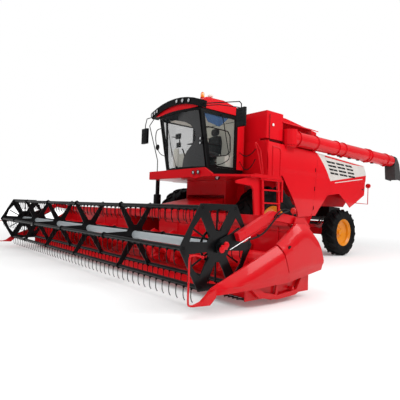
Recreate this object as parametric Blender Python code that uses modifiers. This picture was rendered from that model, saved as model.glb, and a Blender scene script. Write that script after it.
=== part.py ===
"""Self-propelled combine harvester with an 8 m grain header.

Metres, +Z up. Everything is laid out in the machine's own frame, whose origin is on the
ground under the middle of the front axle: +X is the machine's left, -Y is the way it
drives. The root empty then slides the whole machine along Y, so that the middle of its
length stands over the world origin.
"""

import math

import bmesh
import bpy
from mathutils import Matrix, Vector

SEAT = 0.0003  # gap that two touching pieces keep
RUNNING = 0.001  # radial play of a pin in its bore

# Wheels
FRONT_TYRE_RADIUS = 0.90
FRONT_TYRE_WIDTH = 0.62
FRONT_RIM_RADIUS = 0.455
FRONT_TRACK = 2.888
REAR_TYRE_RADIUS = 0.67
REAR_TYRE_WIDTH = 0.41
REAR_RIM_RADIUS = 0.40
REAR_TRACK = 2.602
WHEELBASE = 3.478
KINGPIN_X = 1.0
WHEEL_STEPS = 28

# Body
BODY_HALF_WIDTH = 1.45
PANEL = 0.03
CORE_HALF_WIDTH = 0.98
DECK_Z = 2.40
FLOOR_Z = 0.90
TAIL_Z = 1.42
CORE_REAR_Y = 4.55
PANEL_SPLIT_Y = 2.09
BODY_REAR_Y = 4.73
PLATFORM_TOP = 1.975
PLATFORM_THICKNESS = 0.05
LADDER_X = 1.85
SILL_TOP_Z = 2.13
SILL_Y = -1.52

# Cab
CAB_HALF_WIDTH = 0.80
CAB_FRONT_Y = -1.29
CAB_REAR_Y = -0.15
CAB_FLOOR_Z = 2.18
CAB_TOP_Z = 3.47
LIGHT_BAR_REAR_Y = -1.50
LIGHT_BAR_CREST_Z = 3.77
LIGHT_BAR_RADIUS = 2.60
LIGHT_BAR_DEPTH = 0.15
SCREEN_LEAN = 0.20  # forward run of the windscreen for each metre of height
SCREEN_BULGE = 0.14
DOOR_REAR_Y = -0.44
GLASS = 0.006
DOOR_GAP = 0.006

# Grain tank and unloading auger
TANK_HALF_WIDTH = 1.12
TANK_CHEEK_X = 1.33
TANK_FRONT_Y = 0.03
TANK_REAR_Y = 2.45
TANK_TOP_Z = 3.62
TANK_WALL = 0.03
ELBOW_X = 1.38
ELBOW_Y = 0.90
AUGER_Z = 3.07
AUGER_RADIUS = 0.19
AUGER_END_Y = 6.50

# Feeder house and header
FEEDER_PIVOT = (-0.55, 1.25)
FEEDER_NOSE = 0.25
FEEDER_HALF_WIDTH = 0.66
FEEDER_FRONT_Y = -2.08
LIFT_BASE = (-0.30, 0.62)
LIFT_EYE = (-1.55, 0.40)
LIFT_X = 0.50
LIFT_EYE_HALF = 0.06
HEADER_HALF_WIDTH = 4.045
END_SHEET = 0.015
BACK_WALL_Y = -2.40
TABLE_AUGER = (-2.75, 0.50)
TABLE_TUBE_RADIUS = 0.15
TABLE_FLIGHT_RADIUS = 0.31
KNIFE_Y = -3.40
DIVIDER_WIDTH = 0.13

# Reel
REEL_AXIS = (-3.80, 0.778)
REEL_RADIUS = 0.546
REEL_HALF_LENGTH = 3.90
REEL_TUBE_RADIUS = 0.060
REEL_PLATE = 0.015
SPIDER_PLACES = (1.95, 0.25, -1.30, -2.80)
BATS = 6
BAT_RADIUS = 0.025
BAT_BLADE = 0.040
ARM_PIVOT = (-2.34, 1.09)
ARM_BEND = (-2.93, 1.17)
ARM_INNER_X = 3.935
ARM_OUTER_X = 4.005
ARM_DEPTH = 0.11

# The longest things ahead and behind set where the middle of the length is.
GUIDE_ROD_Y = -4.39
GUIDE_ROD_RADIUS = 0.012
SPOUT_TIP_Y = 7.03
MIDDLE_Y = (GUIDE_ROD_Y - GUIDE_ROD_RADIUS + SPOUT_TIP_Y) / 2

RED = (0.62, 0.012, 0.018, 1)
DARK_RED = (0.30, 0.008, 0.012, 1)
BLACK = (0.018, 0.019, 0.021, 1)
RUBBER = (0.022, 0.022, 0.022, 1)
YELLOW = (0.86, 0.36, 0.02, 1)
STEEL = (0.55, 0.56, 0.58, 1)
SMOKED = (0.03, 0.045, 0.05, 1)
BEIGE = (0.55, 0.50, 0.40, 1)


# ---------------------------------------------------------------- modelling helpers


def material(name, colour, roughness, metallic=0.0):
    found = bpy.data.materials.get(name)
    if found:
        return found
    made = bpy.data.materials.new(name)
    made.use_nodes = True
    shader = made.node_tree.nodes["Principled BSDF"]
    shader.inputs["Base Color"].default_value = colour
    shader.inputs["Roughness"].default_value = roughness
    shader.inputs["Metallic"].default_value = metallic
    return made


def paint(kind):
    return {
        "red": lambda: material("red_paint", RED, 0.3),
        "dark_red": lambda: material("shaded_red_paint", DARK_RED, 0.4),
        "black": lambda: material("black_steel", BLACK, 0.4, 0.3),
        "rubber": lambda: material("rubber", RUBBER, 0.85),
        "yellow": lambda: material("yellow_paint", YELLOW, 0.35),
        "steel": lambda: material("bright_steel", STEEL, 0.3, 1.0),
        "glass": lambda: material("smoked_glass", SMOKED, 0.1),
        "beige": lambda: material("beige_trim", BEIGE, 0.7),
    }[kind]()


def from_bmesh(bm):
    bmesh.ops.recalc_face_normals(bm, faces=bm.faces)
    mesh = bpy.data.meshes.new("piece")
    bm.to_mesh(mesh)
    bm.free()
    obj = bpy.data.objects.new("piece", mesh)
    bpy.context.scene.collection.objects.link(obj)
    return obj


def evaluated(obj):
    """A plain mesh object of what obj's modifiers or curve settings make, in place of obj."""
    graph = bpy.context.evaluated_depsgraph_get()
    mesh = bpy.data.meshes.new_from_object(obj.evaluated_get(graph))
    mesh.transform(obj.matrix_world)
    bm = bmesh.new()
    bm.from_mesh(mesh)
    bmesh.ops.remove_doubles(bm, verts=bm.verts, dist=0.00001)
    bpy.data.meshes.remove(mesh)
    bpy.data.objects.remove(obj)
    return from_bmesh(bm)


def box(x, y, z):
    """A block between the low and high values of each axis."""
    bm = bmesh.new()
    bmesh.ops.create_cube(bm, size=1.0)
    size = Vector((x[1] - x[0], y[1] - y[0], z[1] - z[0]))
    middle = Vector((sum(x), sum(y), sum(z))) / 2
    bmesh.ops.transform(bm, verts=bm.verts, matrix=Matrix.Translation(middle) @ Matrix.Diagonal((*size, 1)))
    return from_bmesh(bm)


def rod(start, end, radius, sides=12, end_radius=None):
    """A round bar, or a cone, from one point to another."""
    start, end = Vector(start), Vector(end)
    bm = bmesh.new()
    bmesh.ops.create_cone(
        bm,
        cap_ends=True,
        segments=sides,
        radius1=radius,
        radius2=radius if end_radius is None else end_radius,
        depth=(end - start).length,
    )
    turn = (end - start).to_track_quat("Z", "Y").to_matrix().to_4x4()
    bmesh.ops.transform(bm, verts=bm.verts, matrix=Matrix.Translation((start + end) / 2) @ turn)
    return from_bmesh(bm)


# A flat outline's own x and y go to these two axes, and its thickness to the third.
FLAT_TO_WORLD = {
    "x": Matrix(((0, 0, 1, 0), (1, 0, 0, 0), (0, 1, 0, 0), (0, 0, 0, 1))),
    "y": Matrix(((1, 0, 0, 0), (0, 0, -1, 0), (0, 1, 0, 0), (0, 0, 0, 1))),
    "z": Matrix.Identity(4),
}


def plate(axis, outline, low, high, holes=()):
    """A flat outline extruded along one axis, from low to high, with its holes left open."""
    curve = bpy.data.curves.new("outline", "CURVE")
    curve.dimensions = "2D"
    curve.fill_mode = "BOTH"
    curve.extrude = (high - low) / 2
    for loop in (outline, *holes):
        spline = curve.splines.new("POLY")
        spline.points.add(len(loop) - 1)
        for point, (u, v) in zip(spline.points, loop):
            point.co = (u, v, 0, 1)
        spline.use_cyclic_u = True
    obj = bpy.data.objects.new("outline", curve)
    bpy.context.scene.collection.objects.link(obj)
    across = (low + high) / 2
    if axis == "y":
        across = -across
    obj.matrix_world = FLAT_TO_WORLD[axis] @ Matrix.Translation((0, 0, across))
    bpy.context.view_layer.update()
    return evaluated(obj)


def tube(points, radius, resolution=1, closed=False):
    """A bent bar along the points, with its ends capped."""
    curve = bpy.data.curves.new("run", "CURVE")
    curve.dimensions = "3D"
    curve.bevel_depth = radius
    curve.bevel_resolution = resolution
    curve.use_fill_caps = True
    spline = curve.splines.new("POLY")
    spline.points.add(len(points) - 1)
    for point, place in zip(spline.points, points):
        point.co = (*place, 1)
    spline.use_cyclic_u = closed
    obj = bpy.data.objects.new("run", curve)
    bpy.context.scene.collection.objects.link(obj)
    bpy.context.view_layer.update()
    return evaluated(obj)


def turned_about_x(profile, steps):
    """A ring about the X axis: the profile is a closed loop of (x, radius) points."""
    bm = bmesh.new()
    corners = [bm.verts.new((0, x, radius)) for x, radius in profile]
    for here, there in zip(corners, corners[1:] + corners[:1]):
        bm.edges.new((here, there))
    mesh = bpy.data.meshes.new("profile")
    bm.to_mesh(mesh)
    bm.free()
    obj = bpy.data.objects.new("profile", mesh)
    bpy.context.scene.collection.objects.link(obj)
    screw = obj.modifiers.new("turn", "SCREW")
    screw.axis = "Y"
    screw.steps = screw.render_steps = steps
    screw.use_merge_vertices = True
    screw.merge_threshold = 0.0001
    obj.matrix_world = Matrix.Rotation(-math.pi / 2, 4, "Z")
    bpy.context.view_layer.update()
    return evaluated(obj)


def moved(obj, place):
    obj.data.transform(Matrix.Translation(place))
    return obj


def mirrored(obj):
    """A copy of obj on the other side of the middle plane."""
    mesh = obj.data.copy()
    mesh.transform(Matrix.Diagonal((-1, 1, 1, 1)))
    mesh.flip_normals()
    copy = bpy.data.objects.new("copy", mesh)
    bpy.context.scene.collection.objects.link(copy)
    return copy


def combined(first, others, operation):
    """Boolean of first with each of the others, which are used up."""
    helpers = bpy.data.collections.new("helpers")
    bpy.context.scene.collection.children.link(helpers)
    for other in others:
        helpers.objects.link(other)
    boolean = first.modifiers.new("boolean", "BOOLEAN")
    boolean.operation = operation
    boolean.operand_type = "COLLECTION"
    boolean.collection = helpers
    bpy.context.view_layer.update()
    result = evaluated(first)
    for other in others:
        bpy.data.objects.remove(other)
    bpy.data.collections.remove(helpers)
    return result


def joined(first, *others):
    return combined(first, others, "UNION")


def cut(first, *others):
    return combined(first, others, "DIFFERENCE")


def ring_of(count, radius, middle=(0.0, 0.0), start=0.0):
    """Points spaced evenly round a circle."""
    return [
        (
            middle[0] + radius * math.cos(start + 2 * math.pi * turn / count),
            middle[1] + radius * math.sin(start + 2 * math.pi * turn / count),
        )
        for turn in range(count)
    ]


def arc(middle, radius, first, last, steps):
    """Points along part of a circle, between two angles in degrees."""
    angles = [math.radians(first + (last - first) * step / steps) for step in range(steps + 1)]
    return [(middle[0] + radius * math.cos(a), middle[1] + radius * math.sin(a)) for a in angles]


class Machine:
    """The collection of parts, with an empty on each joint's axis that carries them."""

    def __init__(self):
        self.parts = bpy.data.collections.new("combine_harvester")
        bpy.context.scene.collection.children.link(self.parts)
        self.root = self.empty("machine", (0, -MIDDLE_Y, 0), None)
        self.origins = {self.root: Vector((0, 0, 0))}

    def empty(self, name, place, parent):
        made = bpy.data.objects.new(name, None)
        self.parts.objects.link(made)
        made.parent = parent
        made.location = place
        return made

    def axis(self, name, place, parent=None):
        """An empty at place, in the machine's frame, for a body that moves there."""
        parent = parent or self.root
        made = self.empty(name, Vector(place) - self.origins[parent], parent)
        self.origins[made] = Vector(place)
        return made

    def add(self, name, obj, kind, parent=None, smooth=None):
        """Names a finished piece and hangs it on its axis, or on the machine."""
        parent = parent or self.root
        obj.name = obj.data.name = name
        obj.data.materials.clear()
        obj.data.materials.append(paint(kind))
        obj.data.transform(Matrix.Translation(-self.origins[parent]))
        bpy.context.scene.collection.objects.unlink(obj)
        self.parts.objects.link(obj)
        obj.parent = parent
        if smooth:
            obj.data.shade_smooth()
            obj.data.set_sharp_from_angle(angle=math.radians(smooth))


# ---------------------------------------------------------------- wheels and axles

REAR_AXLE = (WHEELBASE, REAR_TYRE_RADIUS)
RAIL_X = 0.60
RAIL_Z = (0.775, FLOOR_Z - SEAT)
FRONT_BEAM = 0.16
REAR_BEAM = 0.08
HITCH_Y = 4.13


def tyre(radius, width, rim_radius):
    """A tyre about the X axis with a flat tread and rounded shoulders."""
    half = width / 2
    bead = rim_radius - 0.01
    profile = [
        (-half * 0.72, bead),
        (-half * 0.92, bead + (radius - bead) * 0.22),
        (-half, bead + (radius - bead) * 0.60),
        (-half * 0.93, radius - 0.05),
        (-half * 0.70, radius),
        (half * 0.70, radius),
        (half * 0.93, radius - 0.05),
        (half, bead + (radius - bead) * 0.60),
        (half * 0.92, bead + (radius - bead) * 0.22),
        (half * 0.72, bead),
    ]
    return turned_about_x(profile, WHEEL_STEPS)


def rim(width, rim_radius, dish):
    """A rim whose disc stands dish inboard of its outer flange; +X is outboard."""
    half = width * 0.36
    seat = rim_radius - 0.01 - SEAT
    disc = half - dish
    profile = [
        (-half, seat),
        (half, seat),
        (half + 0.012, seat - 0.002),
        (half + 0.012, seat - 0.035),
        (disc + 0.06, seat - 0.055),
        (disc + 0.02, rim_radius * 0.50),
        (disc + 0.03, 0.13),
        (disc + 0.03, 0.0),
        (disc - 0.09, 0.0),
        (disc - 0.09, 0.16),
        (disc - 0.01, 0.18),
        (disc - 0.01, rim_radius * 0.55),
        (disc + 0.02, seat - 0.075),
        (-half, seat - 0.035),
    ]
    return turned_about_x(profile, WHEEL_STEPS)


def wheels(machine, steering):
    for name, place, radius, width, rim_radius, dish, half_track in (
        ("front", (0, FRONT_TYRE_RADIUS), FRONT_TYRE_RADIUS, FRONT_TYRE_WIDTH, FRONT_RIM_RADIUS, 0.16,
         FRONT_TRACK / 2),
        ("rear", REAR_AXLE, REAR_TYRE_RADIUS, REAR_TYRE_WIDTH, REAR_RIM_RADIUS, 0.07, REAR_TRACK / 2),
    ):
        for side, sign in (("left", 1), ("right", -1)):
            hub = (sign * half_track, *place)
            parent = steering[side] if name == "rear" else None
            spin = machine.axis(f"{name}_wheel_{side}_axis", hub, parent)
            rubber = tyre(radius, width, rim_radius)
            steel = rim(width, rim_radius, dish)
            if sign < 0:
                rubber, steel = flipped(rubber), flipped(steel)
            machine.add(f"{name}_tyre_{side}", moved(rubber, hub), "rubber", spin, 40)
            machine.add(f"{name}_rim_{side}", moved(steel, hub), "yellow", spin, 40)


def flipped(obj):
    copy = mirrored(obj)
    bpy.data.objects.remove(obj)
    return copy


def hub_face(width, dish, half_track):
    """How far out the inner face of a rim's hub lies."""
    return half_track + width * 0.36 - dish - 0.09


def axles(machine):
    """Front drive axle, rear axle beam, and a knuckle on each kingpin."""
    z = FRONT_TYRE_RADIUS
    end = hub_face(FRONT_TYRE_WIDTH, 0.16, FRONT_TRACK / 2) - SEAT
    beam = box((-0.95, 0.95), (-FRONT_BEAM, FRONT_BEAM), (z - 0.14, z + 0.14))
    gearbox = rod((-0.24, 0, z - 0.02), (0.24, 0, z - 0.02), 0.24, 16)
    drives = [
        rod((sign * 0.80, 0, z), (sign * 1.05, 0, z), 0.24, 16) for sign in (1, -1)
    ]
    shafts = [rod((sign * 1.0, 0, z), (sign * end, 0, z), 0.11, 16) for sign in (1, -1)]
    lugs = [
        plate(
            "x",
            [
                (LIFT_BASE[0] - 0.06, LIFT_BASE[1] + 0.02),
                (LIFT_BASE[0], LIFT_BASE[1] - 0.06),
                (-0.05, z - 0.13),
                (-0.10, z - 0.05),
                (-FRONT_BEAM - 0.02, z + 0.02),
            ],
            *sorted((sign * (LIFT_X + LIFT_EYE_HALF + SEAT), sign * (LIFT_X + LIFT_EYE_HALF + 0.03))),
        )
        for sign in (1, -1)
    ]
    machine.add("front_axle", joined(beam, gearbox, *drives, *shafts, *lugs), "dark_red")

    y, z = REAR_AXLE
    beam = box((-0.92, 0.92), (y - REAR_BEAM, y + REAR_BEAM), (z - 0.10, z + 0.08))
    ends = [
        box((sign * KINGPIN_X - 0.08, sign * KINGPIN_X + 0.08), (y - 0.07, y + 0.07), (z + 0.02, z + 0.08))
        for sign in (1, -1)
    ]
    machine.add("rear_axle", joined(beam, *ends), "dark_red")

    steering = {}
    end = hub_face(REAR_TYRE_WIDTH, 0.07, REAR_TRACK / 2) - SEAT
    for side, sign in (("left", 1), ("right", -1)):
        pin = (sign * KINGPIN_X, y, z)
        steering[side] = machine.axis(f"steering_{side}_axis", pin)
        post = rod((pin[0], y, z - 0.09), (pin[0], y, z + 0.02 - SEAT), 0.055, 12)
        spindle = rod((pin[0], y, z - 0.045), (sign * end, y, z - 0.045), 0.04, 12)
        flange = rod((sign * (end - 0.03), y, z), (sign * end, y, z), 0.09, 16)
        machine.add(f"knuckle_{side}", joined(post, spindle, flange), "dark_red", steering[side])
    return steering


def chassis(machine):
    """Two rails from the front axle to the hitch behind the rear axle."""
    rails = [
        box((sign * RAIL_X - 0.04, sign * RAIL_X + 0.04), (FRONT_BEAM + SEAT, HITCH_Y - 0.04), RAIL_Z)
        for sign in (1, -1)
    ]
    rear_axle_top = REAR_TYRE_RADIUS + 0.08 + SEAT
    saddle = box((-0.64, 0.64), (WHEELBASE - 0.06, WHEELBASE + 0.06), (rear_axle_top, RAIL_Z[1]))
    hitch = box((-0.64, 0.64), (HITCH_Y - 0.08, HITCH_Y), (0.70, 0.96))
    front_tie = box((-0.64, 0.64), (0.30, 0.40), RAIL_Z)
    machine.add("chassis_frame", joined(rails[0], rails[1], saddle, hitch, front_tie), "dark_red")


# ---------------------------------------------------------------- body


def threshing_body(machine):
    """The sheet-metal core, with the plates that carry the feeder and the wall under the cab."""
    core = plate(
        "x",
        [
            (-0.26, 1.16),
            (0.45, 1.16),
            (0.70, FLOOR_Z),
            (2.45, FLOOR_Z),
            (2.75, TAIL_Z),
            (4.25, TAIL_Z),
            (CORE_REAR_Y, 1.70),
            (CORE_REAR_Y, 1.90),
            (2.85, 1.90),
            (2.85, DECK_Z),
            (0.02, DECK_Z),
            (0.02, PLATFORM_TOP - PLATFORM_THICKNESS - SEAT),
            (-0.26, PLATFORM_TOP - PLATFORM_THICKNESS - SEAT),
        ],
        -CORE_HALF_WIDTH,
        CORE_HALF_WIDTH,
    )
    y, z = FEEDER_PIVOT
    under = PLATFORM_TOP - PLATFORM_THICKNESS - SEAT
    plates = [
        box(
            tuple(sorted((sign * 0.70, sign * 0.74))), (y - 0.09, -0.22), (z - 0.12, under)
        )
        for sign in (1, -1)
    ]
    wall = box((-0.72, 0.72), (y - 0.09, y - 0.06), (z + FEEDER_NOSE + 0.07, under))
    front = box(
        (-BODY_HALF_WIDTH + PANEL + SEAT, BODY_HALF_WIDTH - PANEL - SEAT),
        (0.02, 0.06),
        (PLATFORM_TOP + 0.03, 2.90),
    )
    brackets = [
        box(tuple(sorted((sign * 0.95, sign * (BODY_HALF_WIDTH - PANEL - SEAT)))), (rib_y, rib_y + 0.05), rib_z)
        for sign in (1, -1)
        for rib_y, rib_z in ((1.70, (2.05, 2.35)), (2.20, (2.05, 2.35)), (4.20, (1.68, 1.85)))
    ]
    machine.add("threshing_body", joined(core, *plates, wall, front, *brackets), "dark_red")


def side_panels(machine):
    """Front panels fixed to the body, and rear panels that are doors on their front edge."""
    x = (BODY_HALF_WIDTH - PANEL, BODY_HALF_WIDTH)
    split_top, split_bottom = (PANEL_SPLIT_Y - 0.01, 2.84), (PANEL_SPLIT_Y - 0.16, 1.13)
    front = [
        (0.0, 2.89),
        (0.05, 2.02),
        (0.59, 2.02),
        (1.31, 1.21),
        (1.36, 1.09),
        split_bottom,
        split_top,
        (1.25, 2.79),
    ]
    gap = 0.008
    rear = [
        (split_top[0] + gap, 2.84),
        (split_bottom[0] + gap, 1.13),
        (2.24, 1.34),
        (2.59, 1.73),
        (3.20, 1.78),
        (3.84, 1.42),
        (4.67, 1.81),
        (BODY_REAR_Y, 2.42),
        (4.64, 2.70),
    ]
    for side, sign in (("left", 1), ("right", -1)):
        low, high = sorted((sign * x[0], sign * x[1]))
        machine.add(f"side_panel_front_{side}", plate("x", front, low, high), "red")
        hinge = machine.axis(
            f"side_door_{side}_axis", (sign * BODY_HALF_WIDTH, split_top[0] + gap, 2.0)
        )
        machine.add(f"side_door_{side}", plate("x", rear, low, high), "red", hinge)


def rear_end(machine):
    """Engine, rear hood with its lamp brackets, and straw chopper."""
    engine = joined(
        box((-0.45, 0.45), (2.95, 3.95), (1.90 + SEAT, 2.45)),
        box((-0.30, 0.30), (3.05, 3.85), (2.40, 2.62)),
    )
    machine.add("engine", engine, "black")

    inside = BODY_HALF_WIDTH - PANEL - 0.006
    hood = plate(
        "x",
        [(CORE_REAR_Y + SEAT, 1.86), (4.60, 1.84), (4.665, 2.42), (4.60, 2.70), (2.50, 2.80), (2.50, 2.77),
         (CORE_REAR_Y + SEAT, 2.66)],
        -inside,
        inside,
    )
    brackets = []
    for sign in (1, -1):
        root = (sign * 1.25, 4.50, 1.56)
        brackets.append(
            tube([root, (sign * 1.25, 5.28, 1.55), (sign * 1.25, 5.28, 2.12)], 0.014)
        )
        brackets.append(rod((sign * 1.25, 4.52, 1.56), (sign * 1.25, 4.59, 1.90), 0.016, 8))
        brackets.append(
            plate("y", ring_of(12, 0.075, (sign * 1.25, 2.14)), 5.25, 5.31)
        )
    machine.add("rear_hood", joined(hood, *brackets), "red")

    chopper = plate(
        "x",
        [(3.98, TAIL_Z - SEAT), (3.98, 1.12), (4.20, 0.98), (4.62, 1.22), (4.62, 1.40), (4.24, TAIL_Z - SEAT)],
        -0.66,
        0.66,
    )
    machine.add("straw_chopper", chopper, "black")


def grain_tank(machine):
    """An open bin with a flared box at each front corner and a rain lip along each side."""
    outer = box(
        (-TANK_HALF_WIDTH, TANK_HALF_WIDTH),
        (TANK_FRONT_Y + 0.035, TANK_REAR_Y),
        (DECK_Z + SEAT, TANK_TOP_Z),
    )
    hollow = plate(
        "x",
        [
            (TANK_FRONT_Y + 0.035 + TANK_WALL, TANK_TOP_Z + 0.2),
            (TANK_FRONT_Y + 0.035 + TANK_WALL, 3.05),
            (0.75, DECK_Z + 0.05),
            (1.75, DECK_Z + 0.05),
            (TANK_REAR_Y - TANK_WALL, 3.05),
            (TANK_REAR_Y - TANK_WALL, TANK_TOP_Z + 0.2),
        ],
        -TANK_HALF_WIDTH + TANK_WALL,
        TANK_HALF_WIDTH - TANK_WALL,
    )
    slope = plate("x", [(0.8, 3.65), (3.0, 3.40), (3.0, 3.8), (0.8, 3.8)], -1.4, 1.4)
    tank = cut(outer, hollow, slope)
    cheeks = []
    for sign in (1, -1):
        low, high = sorted((sign * (TANK_HALF_WIDTH - 0.01), sign * TANK_CHEEK_X))
        cheeks.append(box((low, high), (TANK_FRONT_Y + 0.035, 0.68), (2.96, TANK_TOP_Z)))
        cheeks.append(
            plate(
                "y",
                [
                    (sign * (TANK_HALF_WIDTH - 0.01), 3.50),
                    (sign * (TANK_CHEEK_X + 0.02), 3.41),
                    (sign * (TANK_CHEEK_X + 0.02), 3.43),
                    (sign * (TANK_HALF_WIDTH - 0.01), 3.53),
                ],
                0.66,
                2.20,
            )
        )
    foot_top = AUGER_Z - AUGER_RADIUS - SEAT
    arm = box((TANK_HALF_WIDTH - 0.01, 1.41), (ELBOW_Y - 0.16, ELBOW_Y + 0.16), (2.62, foot_top - 0.01))
    foot = rod((ELBOW_X, ELBOW_Y, foot_top - 0.045), (ELBOW_X, ELBOW_Y, foot_top), 0.17, 16)
    machine.add("grain_tank", joined(tank, *cheeks, arm, foot), "red")


def unloading_auger(machine):
    """The tube that swings out about its vertical elbow, with its rubber spout."""
    swing = machine.axis("unloading_auger_axis", (ELBOW_X, ELBOW_Y, AUGER_Z))
    x, z = ELBOW_X, AUGER_Z
    run = rod((x, ELBOW_Y, z), (x, AUGER_END_Y, z), AUGER_RADIUS, 20)
    elbow = rod((x, ELBOW_Y, z - AUGER_RADIUS), (x, ELBOW_Y, z + AUGER_RADIUS), AUGER_RADIUS, 20)
    flanges = [
        rod((x, y, z), (x, y + 0.03, z), AUGER_RADIUS + 0.025, 20) for y in (1.12, 2.95, 4.88)
    ]
    machine.add("unloading_auger", joined(run, elbow, *flanges), "red", swing, 40)
    spout = plate(
        "x",
        [
            (AUGER_END_Y + SEAT, z + 0.14),
            (AUGER_END_Y + SEAT, z - 0.17),
            (6.56, 2.45),
            (SPOUT_TIP_Y - 0.04, 2.42),
            (SPOUT_TIP_Y, 2.50),
            (6.84, 2.98),
            (6.66, 3.17),
        ],
        x - 0.17,
        x + 0.17,
    )
    throat = plate(
        "x",
        [(6.58, 2.80), (6.59, 2.30), (SPOUT_TIP_Y - 0.01, 2.30), (SPOUT_TIP_Y - 0.03, 2.52), (6.83, 2.93), (6.68, 3.08)],
        x - 0.15,
        x + 0.15,
    )
    machine.add("unloading_spout", cut(spout, throat), "rubber", swing)


# ---------------------------------------------------------------- platform and cab


def platform(machine):
    """Deck round the cab, its front sill, and the post on the far side."""
    top, low = PLATFORM_TOP, PLATFORM_TOP - PLATFORM_THICKNESS
    deck = plate(
        "z",
        [(-1.22, SILL_Y + 0.01), (1.22, SILL_Y + 0.01), (LADDER_X + 0.05, -1.05), (LADDER_X + 0.05, -0.02), (1.40, -0.02),
         (1.40, 0.02 - SEAT), (-1.40, 0.02 - SEAT), (-1.40, -0.60), (-1.22, -0.80)],
        low,
        top,
    )
    sill = plate(
        "y",
        [(-1.22, low + 0.01), (0.45, low + 0.01), (0.65, low - 0.03), (0.85, low), (1.20, low + 0.01),
         (1.20, top + 0.02), (0.95, SILL_TOP_Z), (-1.22, SILL_TOP_Z)],
        SILL_Y,
        SILL_Y + 0.05,
    )
    post = box((-1.23, -1.16), (-1.30, -1.23), (1.22, low + 0.02))
    machine.add("platform", joined(deck, sill, post), "red")


def ladder(machine):
    """Ladder outboard of the wheel, its side plate, and the two handrails beside it."""
    x, low = LADDER_X, PLATFORM_TOP - PLATFORM_THICKNESS - SEAT
    front_y, rear_y = -0.66, -0.12
    rails = [
        plate(
            "x",
            [(y - 0.03, low), (y + 0.03, low), (y + 0.10, 1.02), (y + 0.04, 1.02)],
            x - 0.015,
            x + 0.035,
        )
        for y in (front_y, rear_y)
    ]
    rungs = [
        box((x - 0.03, x + 0.045), (front_y + 0.01, rear_y + 0.07), (z, z + 0.03))
        for z in (1.10, 1.38, 1.66, 1.88)
    ]
    side = plate(
        "x",
        [(-1.40, 1.83), (-1.40, 1.77), (-0.95, 1.74), (-0.88, 1.66), (-0.82, 1.10), (-0.62, 1.10),
         (-0.64, 1.90), (-0.70, low), (-1.0, low)],
        x - 0.06,
        x - 0.02,
    )
    base = box((x - 0.06, x + 0.04), (-0.72, -0.06), (low - 0.035, low))
    pillar = box((x - 0.01, x + 0.03), (0.0, 0.05), (1.43, 1.93))
    pillar_tie = box((x - 0.01, x + 0.03), (-0.10, 0.05), (low - 0.035, low))
    machine.add("ladder", joined(rails[0], rails[1], *rungs, side, base, pillar, pillar_tie), "red")

    top = PLATFORM_TOP
    x = LADDER_X
    foot = box((x - 0.02, x + 0.03), (-0.92, -0.60), (top + SEAT, top + 0.03))
    front_rail = tube(
        [(x, -0.66, top + 0.01), (x, -0.80, 2.45), (x, -0.90, 2.64), (x, -0.86, 2.66), (x, -0.72, 2.50),
         (x, -0.62, 2.02)], 0.016
    )
    rear_rail = tube(
        [(x, -0.30, top + 0.02), (x, -0.32, 2.66), (x, -0.08, 2.64), (x, -0.04, 2.58), (x, -0.04, top + 0.02)],
        0.016,
    )
    rear_foot = box((x - 0.02, x + 0.03), (-0.62, -0.02), (top + SEAT, top + 0.03))
    machine.add("handrails", joined(foot, rear_foot, front_rail, rear_rail), "red")


def leaned(obj, z0):
    """Shears a piece forward above z0, the way the windscreen leans."""
    shear = Matrix.Identity(4)
    shear[1][2] = -SCREEN_LEAN
    shear[1][3] = SCREEN_LEAN * z0
    obj.data.transform(shear)
    return obj


def screen_line(offset):
    """Points of the bowed windscreen seen from above, from right to left, at the cab floor."""
    half = CAB_HALF_WIDTH - 0.06
    radius = (half**2 + SCREEN_BULGE**2) / (2 * SCREEN_BULGE)
    middle = (0, CAB_FRONT_Y - SCREEN_BULGE + radius)
    spread = math.degrees(math.asin(half / radius))
    return arc(middle, radius + offset, 270 - spread, 270 + spread, 8)


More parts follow.
